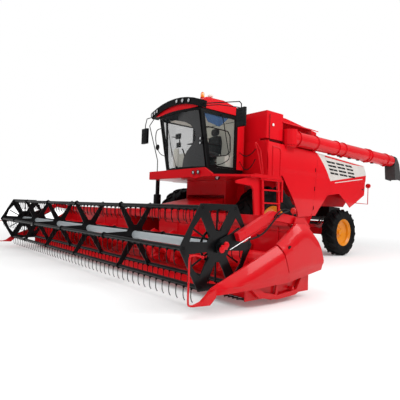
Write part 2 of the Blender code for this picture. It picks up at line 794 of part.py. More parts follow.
def cab(machine):
    top, floor = CAB_TOP_Z, CAB_FLOOR_Z
    side = CAB_HALF_WIDTH
    base = plate(
        "z",
        [(-side, CAB_REAR_Y), (-side, CAB_FRONT_Y), *screen_line(0.03)[1:-1], (side, CAB_FRONT_Y),
         (side, CAB_REAR_Y)],
        PLATFORM_TOP + SEAT,
        floor,
    )
    header_rail = plate(
        "z",
        [(-side, CAB_REAR_Y), (-side, CAB_FRONT_Y), *screen_line(0.03)[1:-1], (side, CAB_FRONT_Y),
         (side, CAB_REAR_Y)],
        top - 0.05,
        top,
        holes=[[(side - 0.08, CAB_REAR_Y - 0.10), *reversed(screen_line(-0.06)[1:-1]),
                (-side + 0.08, CAB_REAR_Y - 0.10)]],
    )
    leaned(header_rail, floor)
    # The shear also carries the roof ring's rear edge forward, so a straight rail closes the gap.
    rear_bar = box((-side, side), (CAB_REAR_Y - 0.36, CAB_REAR_Y), (top - 0.05, top))
    back = box((-side, side), (CAB_REAR_Y - 0.03, CAB_REAR_Y), (floor - 0.01, top))
    pillars = []
    for sign in (1, -1):
        low, high = sorted((sign * (side - 0.06), sign * side))
        front = box((low, high), (CAB_FRONT_Y, CAB_FRONT_Y + 0.05), (floor - 0.01, top))
        pillars.append(leaned(front, floor))
        pillars.append(box((low, high), (DOOR_REAR_Y + 0.03, CAB_REAR_Y), (floor - 0.01, top)))
    machine.add("cab_frame", joined(base, header_rail, rear_bar, back, *pillars), "black")

    outer, inner = screen_line(0.012), screen_line(0.012 - GLASS)
    screen = plate("z", outer + inner[::-1], floor + SEAT, top - 0.05 - SEAT)
    machine.add("windscreen", leaned(screen, floor), "glass")

    def side_outline(inset):
        """The cab's side opening seen from the side, drawn in by inset all round."""
        low, high = floor + inset, top - 0.05 - inset
        front_low = CAB_FRONT_Y + 0.05 - SCREEN_LEAN * (low - floor) + inset
        front_high = CAB_FRONT_Y + 0.05 - SCREEN_LEAN * (high - floor) + inset
        rear = DOOR_REAR_Y + 0.03 - inset
        return [(front_low, low), (rear, low), (rear, high), (front_high, high)]

    for sign in (1, -1):
        low, high = sorted((sign * (side - 0.035), sign * side))
        glass = sorted((sign * (side - 0.020), sign * (side - 0.020 + GLASS)))
        gap = DOOR_GAP if sign > 0 else SEAT
        frame = plate("x", side_outline(gap), low, high, holes=[side_outline(gap + 0.04)])
        pane = plate("x", side_outline(gap + 0.04 + SEAT), *glass)
        if sign > 0:
            knuckle = 0.012
            hinge_x, hinge_y = side + knuckle + SEAT, DOOR_REAR_Y + 0.03 - DOOR_GAP / 3
            hinge = machine.axis("cab_door_axis", (hinge_x, hinge_y, floor))
            y, z = CAB_FRONT_Y - 0.085, 3.06
            bar = tube(
                [
                    (side - 0.002, y, z),
                    (side + 0.05, y + 0.05, z),
                    (side + 0.06, y + 0.62, z - 0.02),
                    (side + 0.06, y + 0.70, z - 0.12),
                    (side + 0.06, y + 0.72, z - 0.48),
                    (side + 0.06, y + 0.60, z - 0.58),
                    (side + 0.05, y + 0.16, z - 0.66),
                    (side - 0.002, y + 0.13, z - 0.67),
                ],
                0.014,
            )
            leaves = []
            for leaf_z in (floor + 0.25, floor + 0.95):
                leaves.append(box((side - 0.01, hinge_x), (hinge_y - 0.04, hinge_y - DOOR_GAP), (leaf_z, leaf_z + 0.10)))
                leaves.append(rod((hinge_x, hinge_y, leaf_z), (hinge_x, hinge_y, leaf_z + 0.10), knuckle, 12))
            machine.add("cab_door", joined(frame, bar, *leaves), "black", hinge)
            machine.add("cab_door_glass", pane, "glass", hinge)
        else:
            machine.add("side_window_frame", frame, "black")
            machine.add("side_window_glass", pane, "glass")


def cab_roof(machine):
    side, base = CAB_HALF_WIDTH + 0.03, CAB_TOP_Z + SEAT
    front = LIGHT_BAR_REAR_Y + SEAT
    roof = plate(
        "x",
        [(front, base), (front, 3.66), (-1.42, 3.72), (-0.90, 3.74), (CAB_REAR_Y + 0.02, 3.60),
         (CAB_REAR_Y + 0.02, base)],
        -side,
        side,
    )
    beacon_foot = rod((0.55, -1.30, 3.70), (0.55, -1.30, 3.78), 0.05, 12)
    beacon = rod((0.55, -1.30, 3.77), (0.55, -1.30, 3.90), 0.04, 12, 0.03)
    mast = rod((0.60, -1.10, 3.70), (0.60, -1.10, 3.84), 0.012, 8)
    dish = rod((0.60, -1.10, 3.83), (0.60, -1.10, 3.86), 0.06, 12)
    machine.add("cab_roof", joined(roof, beacon_foot, beacon, mast, dish), "red")

    def mirror(root, knee, head):
        arm = tube([root, knee, (head[0], head[1], head[2] + 0.22), head], 0.012)
        back = box((head[0] - 0.12, head[0] + 0.12), (head[1] - 0.03, head[1] + 0.03),
                   (head[2] - 0.24, head[2] + 0.14))
        return [arm, back]

    middle = (0, LIGHT_BAR_CREST_Z - LIGHT_BAR_RADIUS)
    inner_radius = LIGHT_BAR_RADIUS - LIGHT_BAR_DEPTH
    crest = arc(middle, LIGHT_BAR_RADIUS, 68.6, 111.4, 8)
    belly = arc(middle, inner_radius, 112.2, 67.8, 8)
    bar = plate("y", crest + belly, LIGHT_BAR_REAR_Y - 0.20, LIGHT_BAR_REAR_Y)
    pieces = []
    for low, high in ((0.70, 0.79), (-0.79, -0.70)):
        pieces.append(
            box((low, high), (LIGHT_BAR_REAR_Y - 0.04, LIGHT_BAR_REAR_Y - SEAT), (base, base + 0.10))
        )
    root_y = LIGHT_BAR_REAR_Y - 0.10
    pieces += mirror((0.90, root_y, 3.52), (1.86, -1.42, 3.42), (1.88, -1.386, 3.158))
    stay = [(-0.92, root_y, 3.50), (-0.98, -1.72, 3.27), (-0.90, SILL_Y + 0.025, 2.40),
            (-0.90, SILL_Y + 0.025, SILL_TOP_Z + SEAT)]
    pieces.append(tube(stay, 0.012))
    pieces += mirror((-0.90, root_y, 3.52), (-1.02, -1.78, 3.44), (-1.05, -1.80, 3.05))
    machine.add("light_bar_and_mirrors", joined(bar, *pieces), "black")


def cab_inside(machine):
    floor = CAB_FLOOR_Z + SEAT
    seat = joined(
        box((-0.17, 0.17), (-0.78, -0.42), (floor, floor + 0.34)),
        box((-0.26, 0.26), (-0.88, -0.34), (floor + 0.32, floor + 0.46)),
        box((-0.25, 0.25), (-0.42, -0.30), (floor + 0.40, floor + 1.10)),
    )
    machine.add("seat", seat, "black")
    column = joined(
        rod((0, -1.15, floor + 0.02), (0, -1.02, floor + 0.62), 0.05, 12),
        rod((0, -1.03, floor + 0.61), (0, -0.995, floor + 0.64), 0.19, 16),
        box((-0.12, 0.12), (-1.22, -1.02), (floor, floor + 0.05)),
    )
    machine.add("steering_column", column, "black")


# ---------------------------------------------------------------- feeder house


def feeder(machine):
    pivot = (0, *FEEDER_PIVOT)
    lift = machine.axis("header_lift_axis", pivot)
    front = FEEDER_FRONT_Y
    nose = arc(FEEDER_PIVOT, FEEDER_NOSE, 98, -112, 10)
    outline = nose + [(front + 0.06, 0.32), (front, 0.32), (front, 1.20), (front + 0.06, 1.20)]
    house = plate("x", outline, -FEEDER_HALF_WIDTH, FEEDER_HALF_WIDTH)
    y, z = FEEDER_PIVOT
    pins = rod((-0.70 + SEAT, y, z), (0.70 - SEAT, y, z), 0.05, 16)
    lugs = [
        plate(
            "x",
            [
                (LIFT_EYE[0] - 0.045, LIFT_EYE[1] - 0.05),
                (LIFT_EYE[0] + 0.045, LIFT_EYE[1] - 0.05),
                (LIFT_EYE[0] + 0.045, LIFT_EYE[1] + 0.08),
                (LIFT_EYE[0] + 0.12, 0.60),
                (LIFT_EYE[0] - 0.12, 0.60),
            ],
            x - 0.02,
            x + 0.02,
        )
        for x in (LIFT_X, -LIFT_X)
    ]
    throat = plate(
        "x",
        [(front - 0.1, 0.42), (front - 0.1, 1.07), (-1.20, 1.24), (-1.20, 0.86), (front + 0.1, 0.42)],
        -0.58,
        0.58,
    )
    machine.add("feeder_house", cut(joined(house, pins, *lugs), throat), "red", lift)

    base, eye = Vector((0, *LIFT_BASE)), Vector((0, *LIFT_EYE))
    along = (eye - base).normalized()
    barrels = machine.axis("lift_barrels_axis", base)
    rods = machine.axis("lift_rods_axis", base, barrels)
    for side, x in (("left", LIFT_X), ("right", -LIFT_X)):
        across = Vector((x, 0, 0))
        barrel = rod(base + across, base + across + along * 0.85, 0.055, 14)
        bore = rod(base + across + along * 0.10, base + across + along * 0.90, 0.031, 14)
        pin = Vector((LIFT_EYE_HALF, 0, 0))
        eye_end = rod(base + across - pin, base + across + pin, 0.06, 14)
        machine.add(f"lift_barrel_{side}", joined(cut(barrel, bore), eye_end), "red", barrels)
        length = (eye - base).length
        bar = rod(base + across + along * 0.30, base + across + along * (length - 0.055), 0.03, 12)
        machine.add(f"lift_rod_{side}", bar, "steel", rods)
    return lift


# ---------------------------------------------------------------- header


def header(machine, lift):
    """Table, back wall and rear frame; cutterbar; end sheets under their crop dividers."""
    half = HEADER_HALF_WIDTH - END_SHEET
    lap = 0.002
    curve = arc(TABLE_AUGER, 0.35, -98, 0, 6)
    skin = 0.02
    under = arc(TABLE_AUGER, 0.35 + skin, 0, -98, 6)
    table = plate(
        "x",
        [(KNIFE_Y + 0.02, 0.115), *curve, (BACK_WALL_Y, 1.05), (BACK_WALL_Y + skin, 1.05), *under,
         (KNIFE_Y + 0.02, 0.095)],
        -half,
        half,
    )
    top_beam = box((-3.90, 3.90), (BACK_WALL_Y - 0.04, BACK_WALL_Y + 0.12), (1.02, 1.16))
    low_beam = box((-3.90, 3.90), (BACK_WALL_Y + 0.08, BACK_WALL_Y + 0.20), (0.18, 0.32))
    mouth_frame = plate(
        "y",
        [(-0.80, 0.22), (0.80, 0.22), (0.80, 1.18), (-0.80, 1.18)],
        BACK_WALL_Y + 0.01,
        FEEDER_FRONT_Y - SEAT,
        holes=[[(-0.58, 0.42), (-0.58, 1.00), (0.58, 1.00), (0.58, 0.42)]],
    )
    struts = [
        box((x - 0.04, x + 0.04), (BACK_WALL_Y + 0.01, BACK_WALL_Y + 0.10), (0.20, 1.10))
        for x in (-3.8, -2.6, -1.7, 1.7, 2.6, 3.8)
    ]
    mouth = box((-0.58, 0.58), (BACK_WALL_Y - 0.1, BACK_WALL_Y + 0.1), (0.42, 1.00))
    sheets = []
    for sign in (1, -1):
        low, high = sorted((sign * (half - lap), sign * HEADER_HALF_WIDTH))
        sheets.append(
            plate(
                "x",
                [(-3.45, 0.09), (-2.10, 0.09), (-2.10, 1.02), (-2.24, 1.15), (-2.44, 1.15), (-2.62, 0.80),
                 (-3.45, 0.42)],
                low,
                high,
            )
        )
        foot_low, foot_high = sorted((sign * (half - 0.20), sign * (half + 0.005)))
        sheets.append(
            plate("x", [(-3.10, 0.10), (-2.95, 0.05), (-2.50, 0.05), (-2.35, 0.12)], foot_low, foot_high)
        )
    notches = [
        box(tuple(sorted((sign * 3.905, sign * (half - 0.003)))), (BACK_WALL_Y - 0.05, BACK_WALL_Y + 0.2), (0.98, 1.2))
        for sign in (1, -1)
    ]
    frame = cut(joined(table, top_beam, low_beam, mouth_frame, *struts, *sheets), mouth, *notches)
    machine.add("header_frame", frame, "red", lift)

    bar = box((-half + 0.01, half - 0.01), (KNIFE_Y - 0.02, KNIFE_Y + 0.02 - SEAT), (0.092, 0.118))
    machine.add("cutterbar", bar, "black", lift)
    return half - lap


def dividers(machine, lift):
    """Front and rear cover of each crop divider, with the shoe and the crop guide rod at its tip."""
    inner, outer = HEADER_HALF_WIDTH + SEAT, HEADER_HALF_WIDTH + DIVIDER_WIDTH
    split_top, split_bottom = (-2.89, 0.770), (-2.69, 0.272)
    tip = (-4.06, 0.235)
    for side, sign in (("left", 1), ("right", -1)):
        low, high = sorted((sign * inner, sign * outer))
        cover = plate(
            "x",
            [tip, split_bottom, split_top, (-4.04, 0.325), (-4.10, 0.28)],
            low,
            high,
        )
        shoe = plate(
            "x",
            [(-4.34, 0.155), (-4.08, 0.140), (-3.99, 0.22), (-3.99, 0.31), (-4.08, 0.285)],
            *sorted((sign * inner, sign * (inner + 0.05))),
        )
        x = sign * (inner + 0.025)
        guide = tube(
            [(x, -4.30, 0.160), (x, GUIDE_ROD_Y + 0.04, 0.170), (x, GUIDE_ROD_Y, 0.21), (x, GUIDE_ROD_Y, 0.68),
             (x, GUIDE_ROD_Y + 0.04, 0.715), (x, GUIDE_ROD_Y + 0.20, 0.69)],
            GUIDE_ROD_RADIUS,
        )
        machine.add(f"divider_front_{side}", joined(cover, shoe, guide), "red", lift)
        gap = 0.008
        rear = plate(
            "x",
            [
                (split_top[0] + gap, split_top[1] + 0.02),
                (split_bottom[0] + gap, split_bottom[1]),
                (-1.91, 0.386),
                (-1.91, 0.538),
                (-2.03, 0.823),
                (-2.27, 1.060),
                (-2.47, 1.069),
            ],
            low,
            high,
        )
        machine.add(f"divider_rear_{side}", rear, "red", lift)


def table_auger(machine, lift, half):
    """Drum with a left- and a right-hand flight that meet at the feeder's mouth."""
    y, z = TABLE_AUGER
    axis = machine.axis("table_auger_axis", (0, y, z), lift)
    drum = rod((-half + 0.06, y, z), (half - 0.06, y, z), TABLE_TUBE_RADIUS, 16)
    shaft = rod((-half + SEAT, y, z), (half - SEAT, y, z), 0.04, 12)
    turns, pitch = 5, 0.62
    flights = []
    for hand in (1, -1):
        bm = bmesh.new()
        inner = bm.verts.new((TABLE_TUBE_RADIUS - 0.02, 0, 0))
        outer = bm.verts.new((TABLE_FLIGHT_RADIUS, 0, 0))
        bm.edges.new((inner, outer))
        mesh = bpy.data.meshes.new("flight")
        bm.to_mesh(mesh)
        bm.free()
        flight = bpy.data.objects.new("flight", mesh)
        bpy.context.scene.collection.objects.link(flight)
        screw = flight.modifiers.new("wind", "SCREW")
        screw.axis = "Z"
        screw.steps = screw.render_steps = 8
        screw.iterations = turns
        screw.screw_offset = pitch
        screw.angle = hand * 2 * math.pi
        thick = flight.modifiers.new("thickness", "SOLIDIFY")
        thick.thickness = 0.012
        thick.offset = 0
        along = Matrix.Rotation(math.pi / 2, 4, "Y")
        start = 0.62 if hand > 0 else -0.62
        if hand < 0:
            along = Matrix.Rotation(-math.pi / 2, 4, "Y")
        flight.matrix_world = Matrix.Translation((start, y, z)) @ along
        bpy.context.view_layer.update()
        flights.append(evaluated(flight))
    machine.add("table_auger", joined(drum, shaft, *flights), "red", axis, 40)


# ---------------------------------------------------------------- reel


def reel_arms(machine, lift):
    arms = machine.axis("reel_arms_axis", (0, *ARM_PIVOT), lift)
    slide = machine.axis("reel_slide_axis", (0, *REEL_AXIS), arms)
    bend, hub = Vector(ARM_BEND), Vector(REEL_AXIS)
    along = (hub - bend).normalized()
    normal = Vector((-along.y, along.x)) * (ARM_DEPTH / 2)
    if normal.y < 0:
        normal = -normal
    arm_end = bend + along * 0.68
    outline = [
        (ARM_PIVOT[0] + 0.05, ARM_PIVOT[1] + 0.06),
        (ARM_BEND[0] + 0.02, ARM_BEND[1] + 0.065),
        tuple(arm_end + normal),
        tuple(arm_end - normal),
        (ARM_BEND[0] + 0.03, ARM_BEND[1] - 0.055),
        (ARM_PIVOT[0] + 0.05, ARM_PIVOT[1] - 0.06),
    ]
    inner_face = 3.90 + SEAT
    outer_face = HEADER_HALF_WIDTH - END_SHEET - 0.002 - SEAT
    for side, sign in (("left", 1), ("right", -1)):
        arm = plate("x", outline, *sorted((sign * ARM_INNER_X, sign * ARM_OUTER_X)))
        pin = rod((sign * inner_face, *ARM_PIVOT), (sign * outer_face, *ARM_PIVOT), 0.035, 12)
        drop = -normal.normalized() * (ARM_DEPTH / 2 + 0.03)
        start, end = bend + along * 0.12 + drop, bend + along * 0.60 + drop
        x = sign * (ARM_INNER_X + ARM_OUTER_X) / 2
        ram = rod((x, *start), (x, *end), 0.03, 12)
        lug_low, lug_high = sorted((x - 0.02, x + 0.02))
        lug = box(
            (lug_low, lug_high),
            (start.x - 0.02, start.x + 0.03),
            (start.y, start.y + 0.06),
        )
        machine.add(f"reel_arm_{side}", joined(arm, pin, ram, lug), "red", arms)

        bearing_y = REEL_AXIS[0]
        near, far = ARM_INNER_X - SEAT, ARM_INNER_X - 0.022
        back = bend + along * 0.42
        bracket = plate(
            "x",
            [
                (bearing_y - 0.07, REEL_AXIS[1] + 0.02),
                (bearing_y - 0.05, REEL_AXIS[1] - 0.07),
                (bearing_y + 0.05, REEL_AXIS[1] - 0.08),
                tuple(back - normal * 0.9),
                tuple(back + normal * 0.9),
                (bearing_y, REEL_AXIS[1] + 0.09),
            ],
            *sorted((sign * near, sign * far)),
        )
        cap = rod((sign * (near - 0.01), *REEL_AXIS), (sign * (ARM_OUTER_X - 0.01), *REEL_AXIS), 0.05, 14)
        machine.add(f"reel_carriage_{side}", joined(bracket, cap), "black", slide)
    return slide


def reel(machine, slide):
    """Centre tube, spiders and end plates turn together; each bat turns back in its own bores."""
    turn = machine.axis("reel_axis", (0, *REEL_AXIS), slide)
    bore = BAT_RADIUS / math.cos(math.pi / 12) + RUNNING / 2
    corners = ring_of(BATS, REEL_RADIUS, REEL_AXIS)
    holes = [ring_of(12, bore, corner) for corner in corners]

    def spider(x):
        arm, boss = 0.035, 0.05
        outline = []
        for number in range(BATS):
            angle = 2 * math.pi * number / BATS
            out = Vector((math.cos(angle), math.sin(angle)))
            left = Vector((-out.y, out.x))
            for reach, wide in (
                (0.15, -0.055), (REEL_RADIUS - boss, -arm), (REEL_RADIUS, -boss),
                (REEL_RADIUS + boss * 0.8, -boss * 0.6), (REEL_RADIUS + boss * 0.8, boss * 0.6),
                (REEL_RADIUS, boss), (REEL_RADIUS - boss, arm), (0.15, 0.055),
            ):
                point = Vector(REEL_AXIS) + out * reach + left * wide
                outline.append((point.x, point.y))
        return plate("x", outline, x - REEL_PLATE / 2, x + REEL_PLATE / 2, holes)

    def end_plate(x):
        outer = ring_of(BATS, REEL_RADIUS + 0.055, REEL_AXIS)
        windows = []
        for number in range(BATS):
            middle = math.degrees(2 * math.pi * (number + 0.5) / BATS)
            inner = arc(REEL_AXIS, 0.19, middle - 12, middle + 12, 2)
            out = arc(REEL_AXIS, 0.46, middle + 21, middle - 21, 2)
            windows.append(inner + out)
        return plate("x", outer, x - REEL_PLATE / 2, x + REEL_PLATE / 2, [*holes, *windows])

    end_x = REEL_HALF_LENGTH - REEL_PLATE / 2
    centre = rod((-end_x, *REEL_AXIS), (end_x, *REEL_AXIS), REEL_TUBE_RADIUS, 12)
    journal_end = ARM_INNER_X - 0.022 - SEAT
    journal = rod((-journal_end, *REEL_AXIS), (journal_end, *REEL_AXIS), 0.04, 12)
    spiders = [spider(x) for x in SPIDER_PLACES]
    ends = [end_plate(sign * end_x) for sign in (1, -1)]
    machine.add("reel_frame", joined(centre, journal, *spiders, *ends), "black", turn, 40)

    stations = sorted((*SPIDER_PLACES, end_x, -end_x))
    for number, (y, z) in enumerate(corners, 1):
        pivot = machine.axis(f"bat_{number}_axis", (0, y, z), turn)
        bar = rod((-REEL_HALF_LENGTH, y, z), (REEL_HALF_LENGTH, y, z), BAT_RADIUS, 10)
        blades = [
            box((left + 0.03, right - 0.03), (y - 0.006, y + 0.006), (z - BAT_BLADE, z))
            for left, right in zip(stations, stations[1:])
        ]
        machine.add(f"bat_{number}", joined(bar, *blades), "black", pivot)


def main():
    for obj in list(bpy.data.objects):
        bpy.data.objects.remove(obj)
    machine = Machine()
    steering = axles(machine)
    chassis(machine)
    wheels(machine, steering)
    threshing_body(machine)
    side_panels(machine)
    rear_end(machine)
    grain_tank(machine)
    unloading_auger(machine)
    platform(machine)
    ladder(machine)
    cab(machine)
    cab_roof(machine)
    cab_inside(machine)
    lift = feeder(machine)
    half = header(machine, lift)
    dividers(machine, lift)
    table_auger(machine, lift, half)
    slide = reel_arms(machine, lift)
    reel(machine, slide)


main()
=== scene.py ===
"""The finished look of a self-propelled combine harvester with its cutting header."""

import math

import bmesh
import bpy
from mathutils import Matrix, Vector


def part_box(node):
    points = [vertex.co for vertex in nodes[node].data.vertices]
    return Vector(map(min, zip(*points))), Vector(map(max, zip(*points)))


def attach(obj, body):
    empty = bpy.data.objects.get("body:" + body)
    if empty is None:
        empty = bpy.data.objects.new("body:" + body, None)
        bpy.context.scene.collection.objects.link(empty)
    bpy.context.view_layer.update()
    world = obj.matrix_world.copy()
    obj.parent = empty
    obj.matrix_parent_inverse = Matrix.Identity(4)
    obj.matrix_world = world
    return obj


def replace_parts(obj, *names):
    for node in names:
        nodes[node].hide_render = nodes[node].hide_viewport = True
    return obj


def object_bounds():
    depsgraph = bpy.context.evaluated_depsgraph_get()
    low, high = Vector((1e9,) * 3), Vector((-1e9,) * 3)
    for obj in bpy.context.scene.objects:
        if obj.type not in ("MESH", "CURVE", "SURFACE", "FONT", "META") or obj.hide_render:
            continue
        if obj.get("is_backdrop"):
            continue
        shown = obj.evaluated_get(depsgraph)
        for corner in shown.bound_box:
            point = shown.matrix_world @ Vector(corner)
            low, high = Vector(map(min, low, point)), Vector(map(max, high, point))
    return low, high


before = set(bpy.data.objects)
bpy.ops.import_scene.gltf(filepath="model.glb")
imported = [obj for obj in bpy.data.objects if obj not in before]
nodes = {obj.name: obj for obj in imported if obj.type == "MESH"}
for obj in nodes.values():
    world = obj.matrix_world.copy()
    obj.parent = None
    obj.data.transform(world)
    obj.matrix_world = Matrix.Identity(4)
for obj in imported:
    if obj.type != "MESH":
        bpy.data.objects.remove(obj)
box_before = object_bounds()

# ------------------------------------------------------------------ studio
# A seamless pale floor under a white sweep, with large soft lights: a key from
# high on the machine's left, a long strip over the header and a low front fill.
floor_mesh = bpy.data.meshes.new("floor")
floor_bm = bmesh.new()
bmesh.ops.create_grid(floor_bm, x_segments=4, y_segments=4, size=60)
floor_bm.to_mesh(floor_mesh)
floor_bm.free()
floor = bpy.data.objects.new("floor", floor_mesh)
bpy.context.scene.collection.objects.link(floor)
floor_finish = bpy.data.materials.new("floor_finish")
floor_finish.use_nodes = True
floor_shader = floor_finish.node_tree.nodes["Principled BSDF"]
floor_shader.inputs["Base Color"].default_value = (0.82, 0.82, 0.82, 1)
# The floor glows of itself, faint within six metres of its middle and rising to bright at twenty-four. This
# is painted light: it makes the far floor read white while the floor round the machine stays dimmer.
floor_shader.inputs["Emission Strength"].default_value = 1.0
reach = floor_finish.node_tree.nodes.new("ShaderNodeVectorMath")
reach.operation = "LENGTH"
floor_glow = floor_finish.node_tree.nodes.new("ShaderNodeMapRange")
for label, value in (("From Min", 6.0), ("From Max", 24.0), ("To Min", 0.12), ("To Max", 0.75)):
    floor_glow.inputs[label].default_value = value
wires = floor_finish.node_tree.links
wires.new(floor_finish.node_tree.nodes.new("ShaderNodeTexCoord").outputs["Object"], reach.inputs[0])
wires.new(reach.outputs["Value"], floor_glow.inputs["Value"])
wires.new(floor_glow.outputs["Result"], floor_shader.inputs["Emission Color"])
floor_shader.inputs["Roughness"].default_value = 0.9
floor_shader.inputs["Specular IOR Level"].default_value = 0.1
floor_mesh.materials.append(floor_finish)
floor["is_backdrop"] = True

world = bpy.data.worlds.new("studio")
world.use_nodes = True
sky = world.node_tree
sky.nodes["Background"].inputs["Color"].default_value = (1, 1, 1, 1)
height = sky.nodes.new("ShaderNodeSeparateXYZ")
glow = sky.nodes.new("ShaderNodeMapRange")
path = sky.nodes.new("ShaderNodeLightPath")
choice = sky.nodes.new("ShaderNodeMix")
for label, value in (("From Min", 0.0), ("From Max", 0.9), ("To Min", 0.07), ("To Max", 0.95)):
    glow.inputs[label].default_value = value
choice.inputs["B"].default_value = 1.0
sky.links.new(sky.nodes.new("ShaderNodeTexCoord").outputs["Generated"], height.inputs[0])
sky.links.new(height.outputs["Z"], glow.inputs["Value"])
sky.links.new(glow.outputs["Result"], choice.inputs["A"])
sky.links.new(path.outputs["Is Camera Ray"], choice.inputs["Factor"])
sky.links.new(choice.outputs["Result"], sky.nodes["Background"].inputs["Strength"])
bpy.context.scene.world = world
bpy.context.scene.view_settings.view_transform = "Standard"


def soft_light(name, place, target, size, power, gleam):
    """A rectangular soft box that looks at its target; gleam scales its highlights."""
    lamp = bpy.data.lights.new(name, "AREA")
    lamp.shape = "RECTANGLE"
    lamp.size, lamp.size_y = size
    lamp.energy = power
    lamp.specular_factor = gleam
    light = bpy.data.objects.new(name, lamp)
    light.location = place
    light.rotation_euler = (Vector(target) - Vector(place)).to_track_quat("-Z", "Y").to_euler()
    bpy.context.scene.collection.objects.link(light)


soft_light("key", (9, 1.5, 9), (1, 0, 1.5), (6, 6), 760, 0.35)
soft_light("strip", (2, -9, 8), (0, -3, 1), (9, 3), 300, 0.8)
soft_light("fill", (9, -9, 2.5), (0, -3, 1.5), (5, 3), 40, 0.3)

# ------------------------------------------------------------------ camera
# Stands low off the machine's front left corner, at about a tractor tyre's
# height, so that the whole cutting width and the left side are in view.
YAW, PITCH, ROLL = math.radians(49.93), math.radians(-0.739), math.radians(2.018)
eye = Vector((7.362, -8.384, 1.244))
ahead = Vector((-math.sin(YAW) * math.cos(PITCH), math.cos(YAW) * math.cos(PITCH), -math.sin(PITCH)))
level = Vector((math.cos(YAW), math.sin(YAW), 0))
upward = level.cross(ahead)
across = level * math.cos(ROLL) + upward * math.sin(ROLL)
upward = upward * math.cos(ROLL) - level * math.sin(ROLL)
optics = bpy.data.cameras.new("camera")
optics.sensor_width = 36
optics.lens = 35.04
optics.shift_x, optics.shift_y = 0.0064, 0.0065
optics.clip_end = 200
camera = bpy.data.objects.new("camera", optics)
camera.matrix_world = Matrix.Translation(eye) @ Matrix((across, upward, -ahead)).transposed().to_4x4()
bpy.context.scene.collection.objects.link(camera)
bpy.context.scene.camera = camera


# ------------------------------------------------------- chassis and paint
# The frame rails, axles and every pressed steel cover wear one two-pack red enamel: sprayed, clear coated, a
# little orange peel, its hard edges softly rounded.
class Wire:
    """The output of a shader node, which takes part in sums written as plain Python."""

    def __init__(self, tree, socket):
        self.tree, self.socket = tree, socket

    def make(self, kind, settings=(), inputs=(), output=0):
        """Adds a node of this kind, with its settings and what goes into its inputs."""
        node = self.tree.nodes.new(kind)
        for name, value in dict(settings).items():
            setattr(node, name, value)
        for key, value in dict(inputs).items():
            if isinstance(value, Wire):
                self.tree.links.new(value.socket, node.inputs[key])
            else:
                node.inputs[key].default_value = value
        return Wire(self.tree, node.outputs[output])

    def maths(self, operation, *values):
        """One sum of these values."""
        return self.make("ShaderNodeMath", {"operation": operation}, enumerate(values))

    def __add__(self, other):
        return self.maths("ADD", self, other)

    def __sub__(self, other):
        return self.maths("SUBTRACT", self, other)

    def __rsub__(self, other):
        return self.maths("SUBTRACT", other, self)

    def __mul__(self, other):
        return self.maths("MULTIPLY", self, other)

    def __truediv__(self, other):
        return self.maths("DIVIDE", self, other)

    def __rtruediv__(self, other):
        return self.maths("DIVIDE", other, self)

    def __neg__(self):
        return self * -1

    __radd__, __rmul__ = __add__, __mul__

    def ramp(self, low, high):
        """0 below low, 1 above high and even in between."""
        settings = {"clamp": True}
        return self.make("ShaderNodeMapRange", settings, {"Value": self, "From Min": low, "From Max": high})

    def noise(self, scale, detail=3.0, stretch=None):
        """Cloudy noise of this scale, drawn out along the axes that stretch makes small."""
        place = self
        if stretch:
            place = self.make("ShaderNodeVectorMath", {"operation": "MULTIPLY"}, {0: self, 1: stretch})
        return self.make("ShaderNodeTexNoise", (), {"Vector": place, "Scale": scale, "Detail": detail})

    def cells(self, scale):
        """Small rounded cells, as in a grained moulding or a prismatic glass."""
        return self.make("ShaderNodeTexVoronoi", (), {"Vector": self, "Scale": scale})

    def waves(self, way, scale):
        """Even bands across one axis, as threads lie in a cloth."""
        settings = {"bands_direction": way}
        return self.make("ShaderNodeTexWave", settings, {"Vector": self, "Scale": scale})

    def blend(self, first, second):
        """The mix of two colours, with this wire as the share of the second."""
        colours = {
            6 + number: value if isinstance(value, Wire) else (*value, 1)
            for number, value in enumerate((first, second))
        }
        return self.make("ShaderNodeMix", {"data_type": "RGBA"}, {0: self, **colours}, 2)

    def axis(self, number):
        """One part of a place: 0 across, 1 back and 2 up."""
        return self.make("ShaderNodeSeparateXYZ", (), {0: self}, number)

    def bump(self, strength, distance, edge=0.0):
        """A surface normal raised by this wire, with hard edges rounded by the size of edge."""
        inputs = {"Height": self, "Strength": strength, "Distance": distance}
        if edge:
            inputs["Normal"] = self.make("ShaderNodeBevel", {"samples": 4}, {"Radius": edge})
        return self.make("ShaderNodeBump", (), inputs)


def finish(name, recipe, **constants):
    """A material whose recipe takes the place on the piece and gives what each shader input is fed."""
    material = bpy.data.materials.new(name)
    material.use_nodes = True
    tree = material.node_tree
    shader = tree.nodes["Principled BSDF"]
    for label, value in constants.items():
        shader.inputs[label.replace("_", " ")].default_value = value
    place = Wire(tree, tree.nodes.new("ShaderNodeTexCoord").outputs["Object"])
    for label, wire in recipe(place).items():
        tree.links.new(wire.socket, shader.inputs[label])
    return material


def enamel(colour, shade, roughness, edge=0.006):
    """Sprayed enamel: slow drifts of tone, orange peel, and a film of dust low down."""

    def recipe(place):
        drift = place.noise(0.9).ramp(0.35, 0.7)
        tone = (drift * 0.6).blend(colour, shade)
        dust = place.axis(2).ramp(1.2, 0.0) * place.noise(5, 6).ramp(0.45, 0.8) * 0.10
        peel = place.noise(55, 2) * 0.7 + place.noise(1.6, 1) * 6
        return {
            "Base Color": dust.blend(tone, (0.30, 0.19, 0.13)),
            "Roughness": place.noise(7, 5) * 0.12 + dust * 0.5 + roughness,
            "Normal": peel.bump(0.10, 0.004, edge),
        }

    return recipe


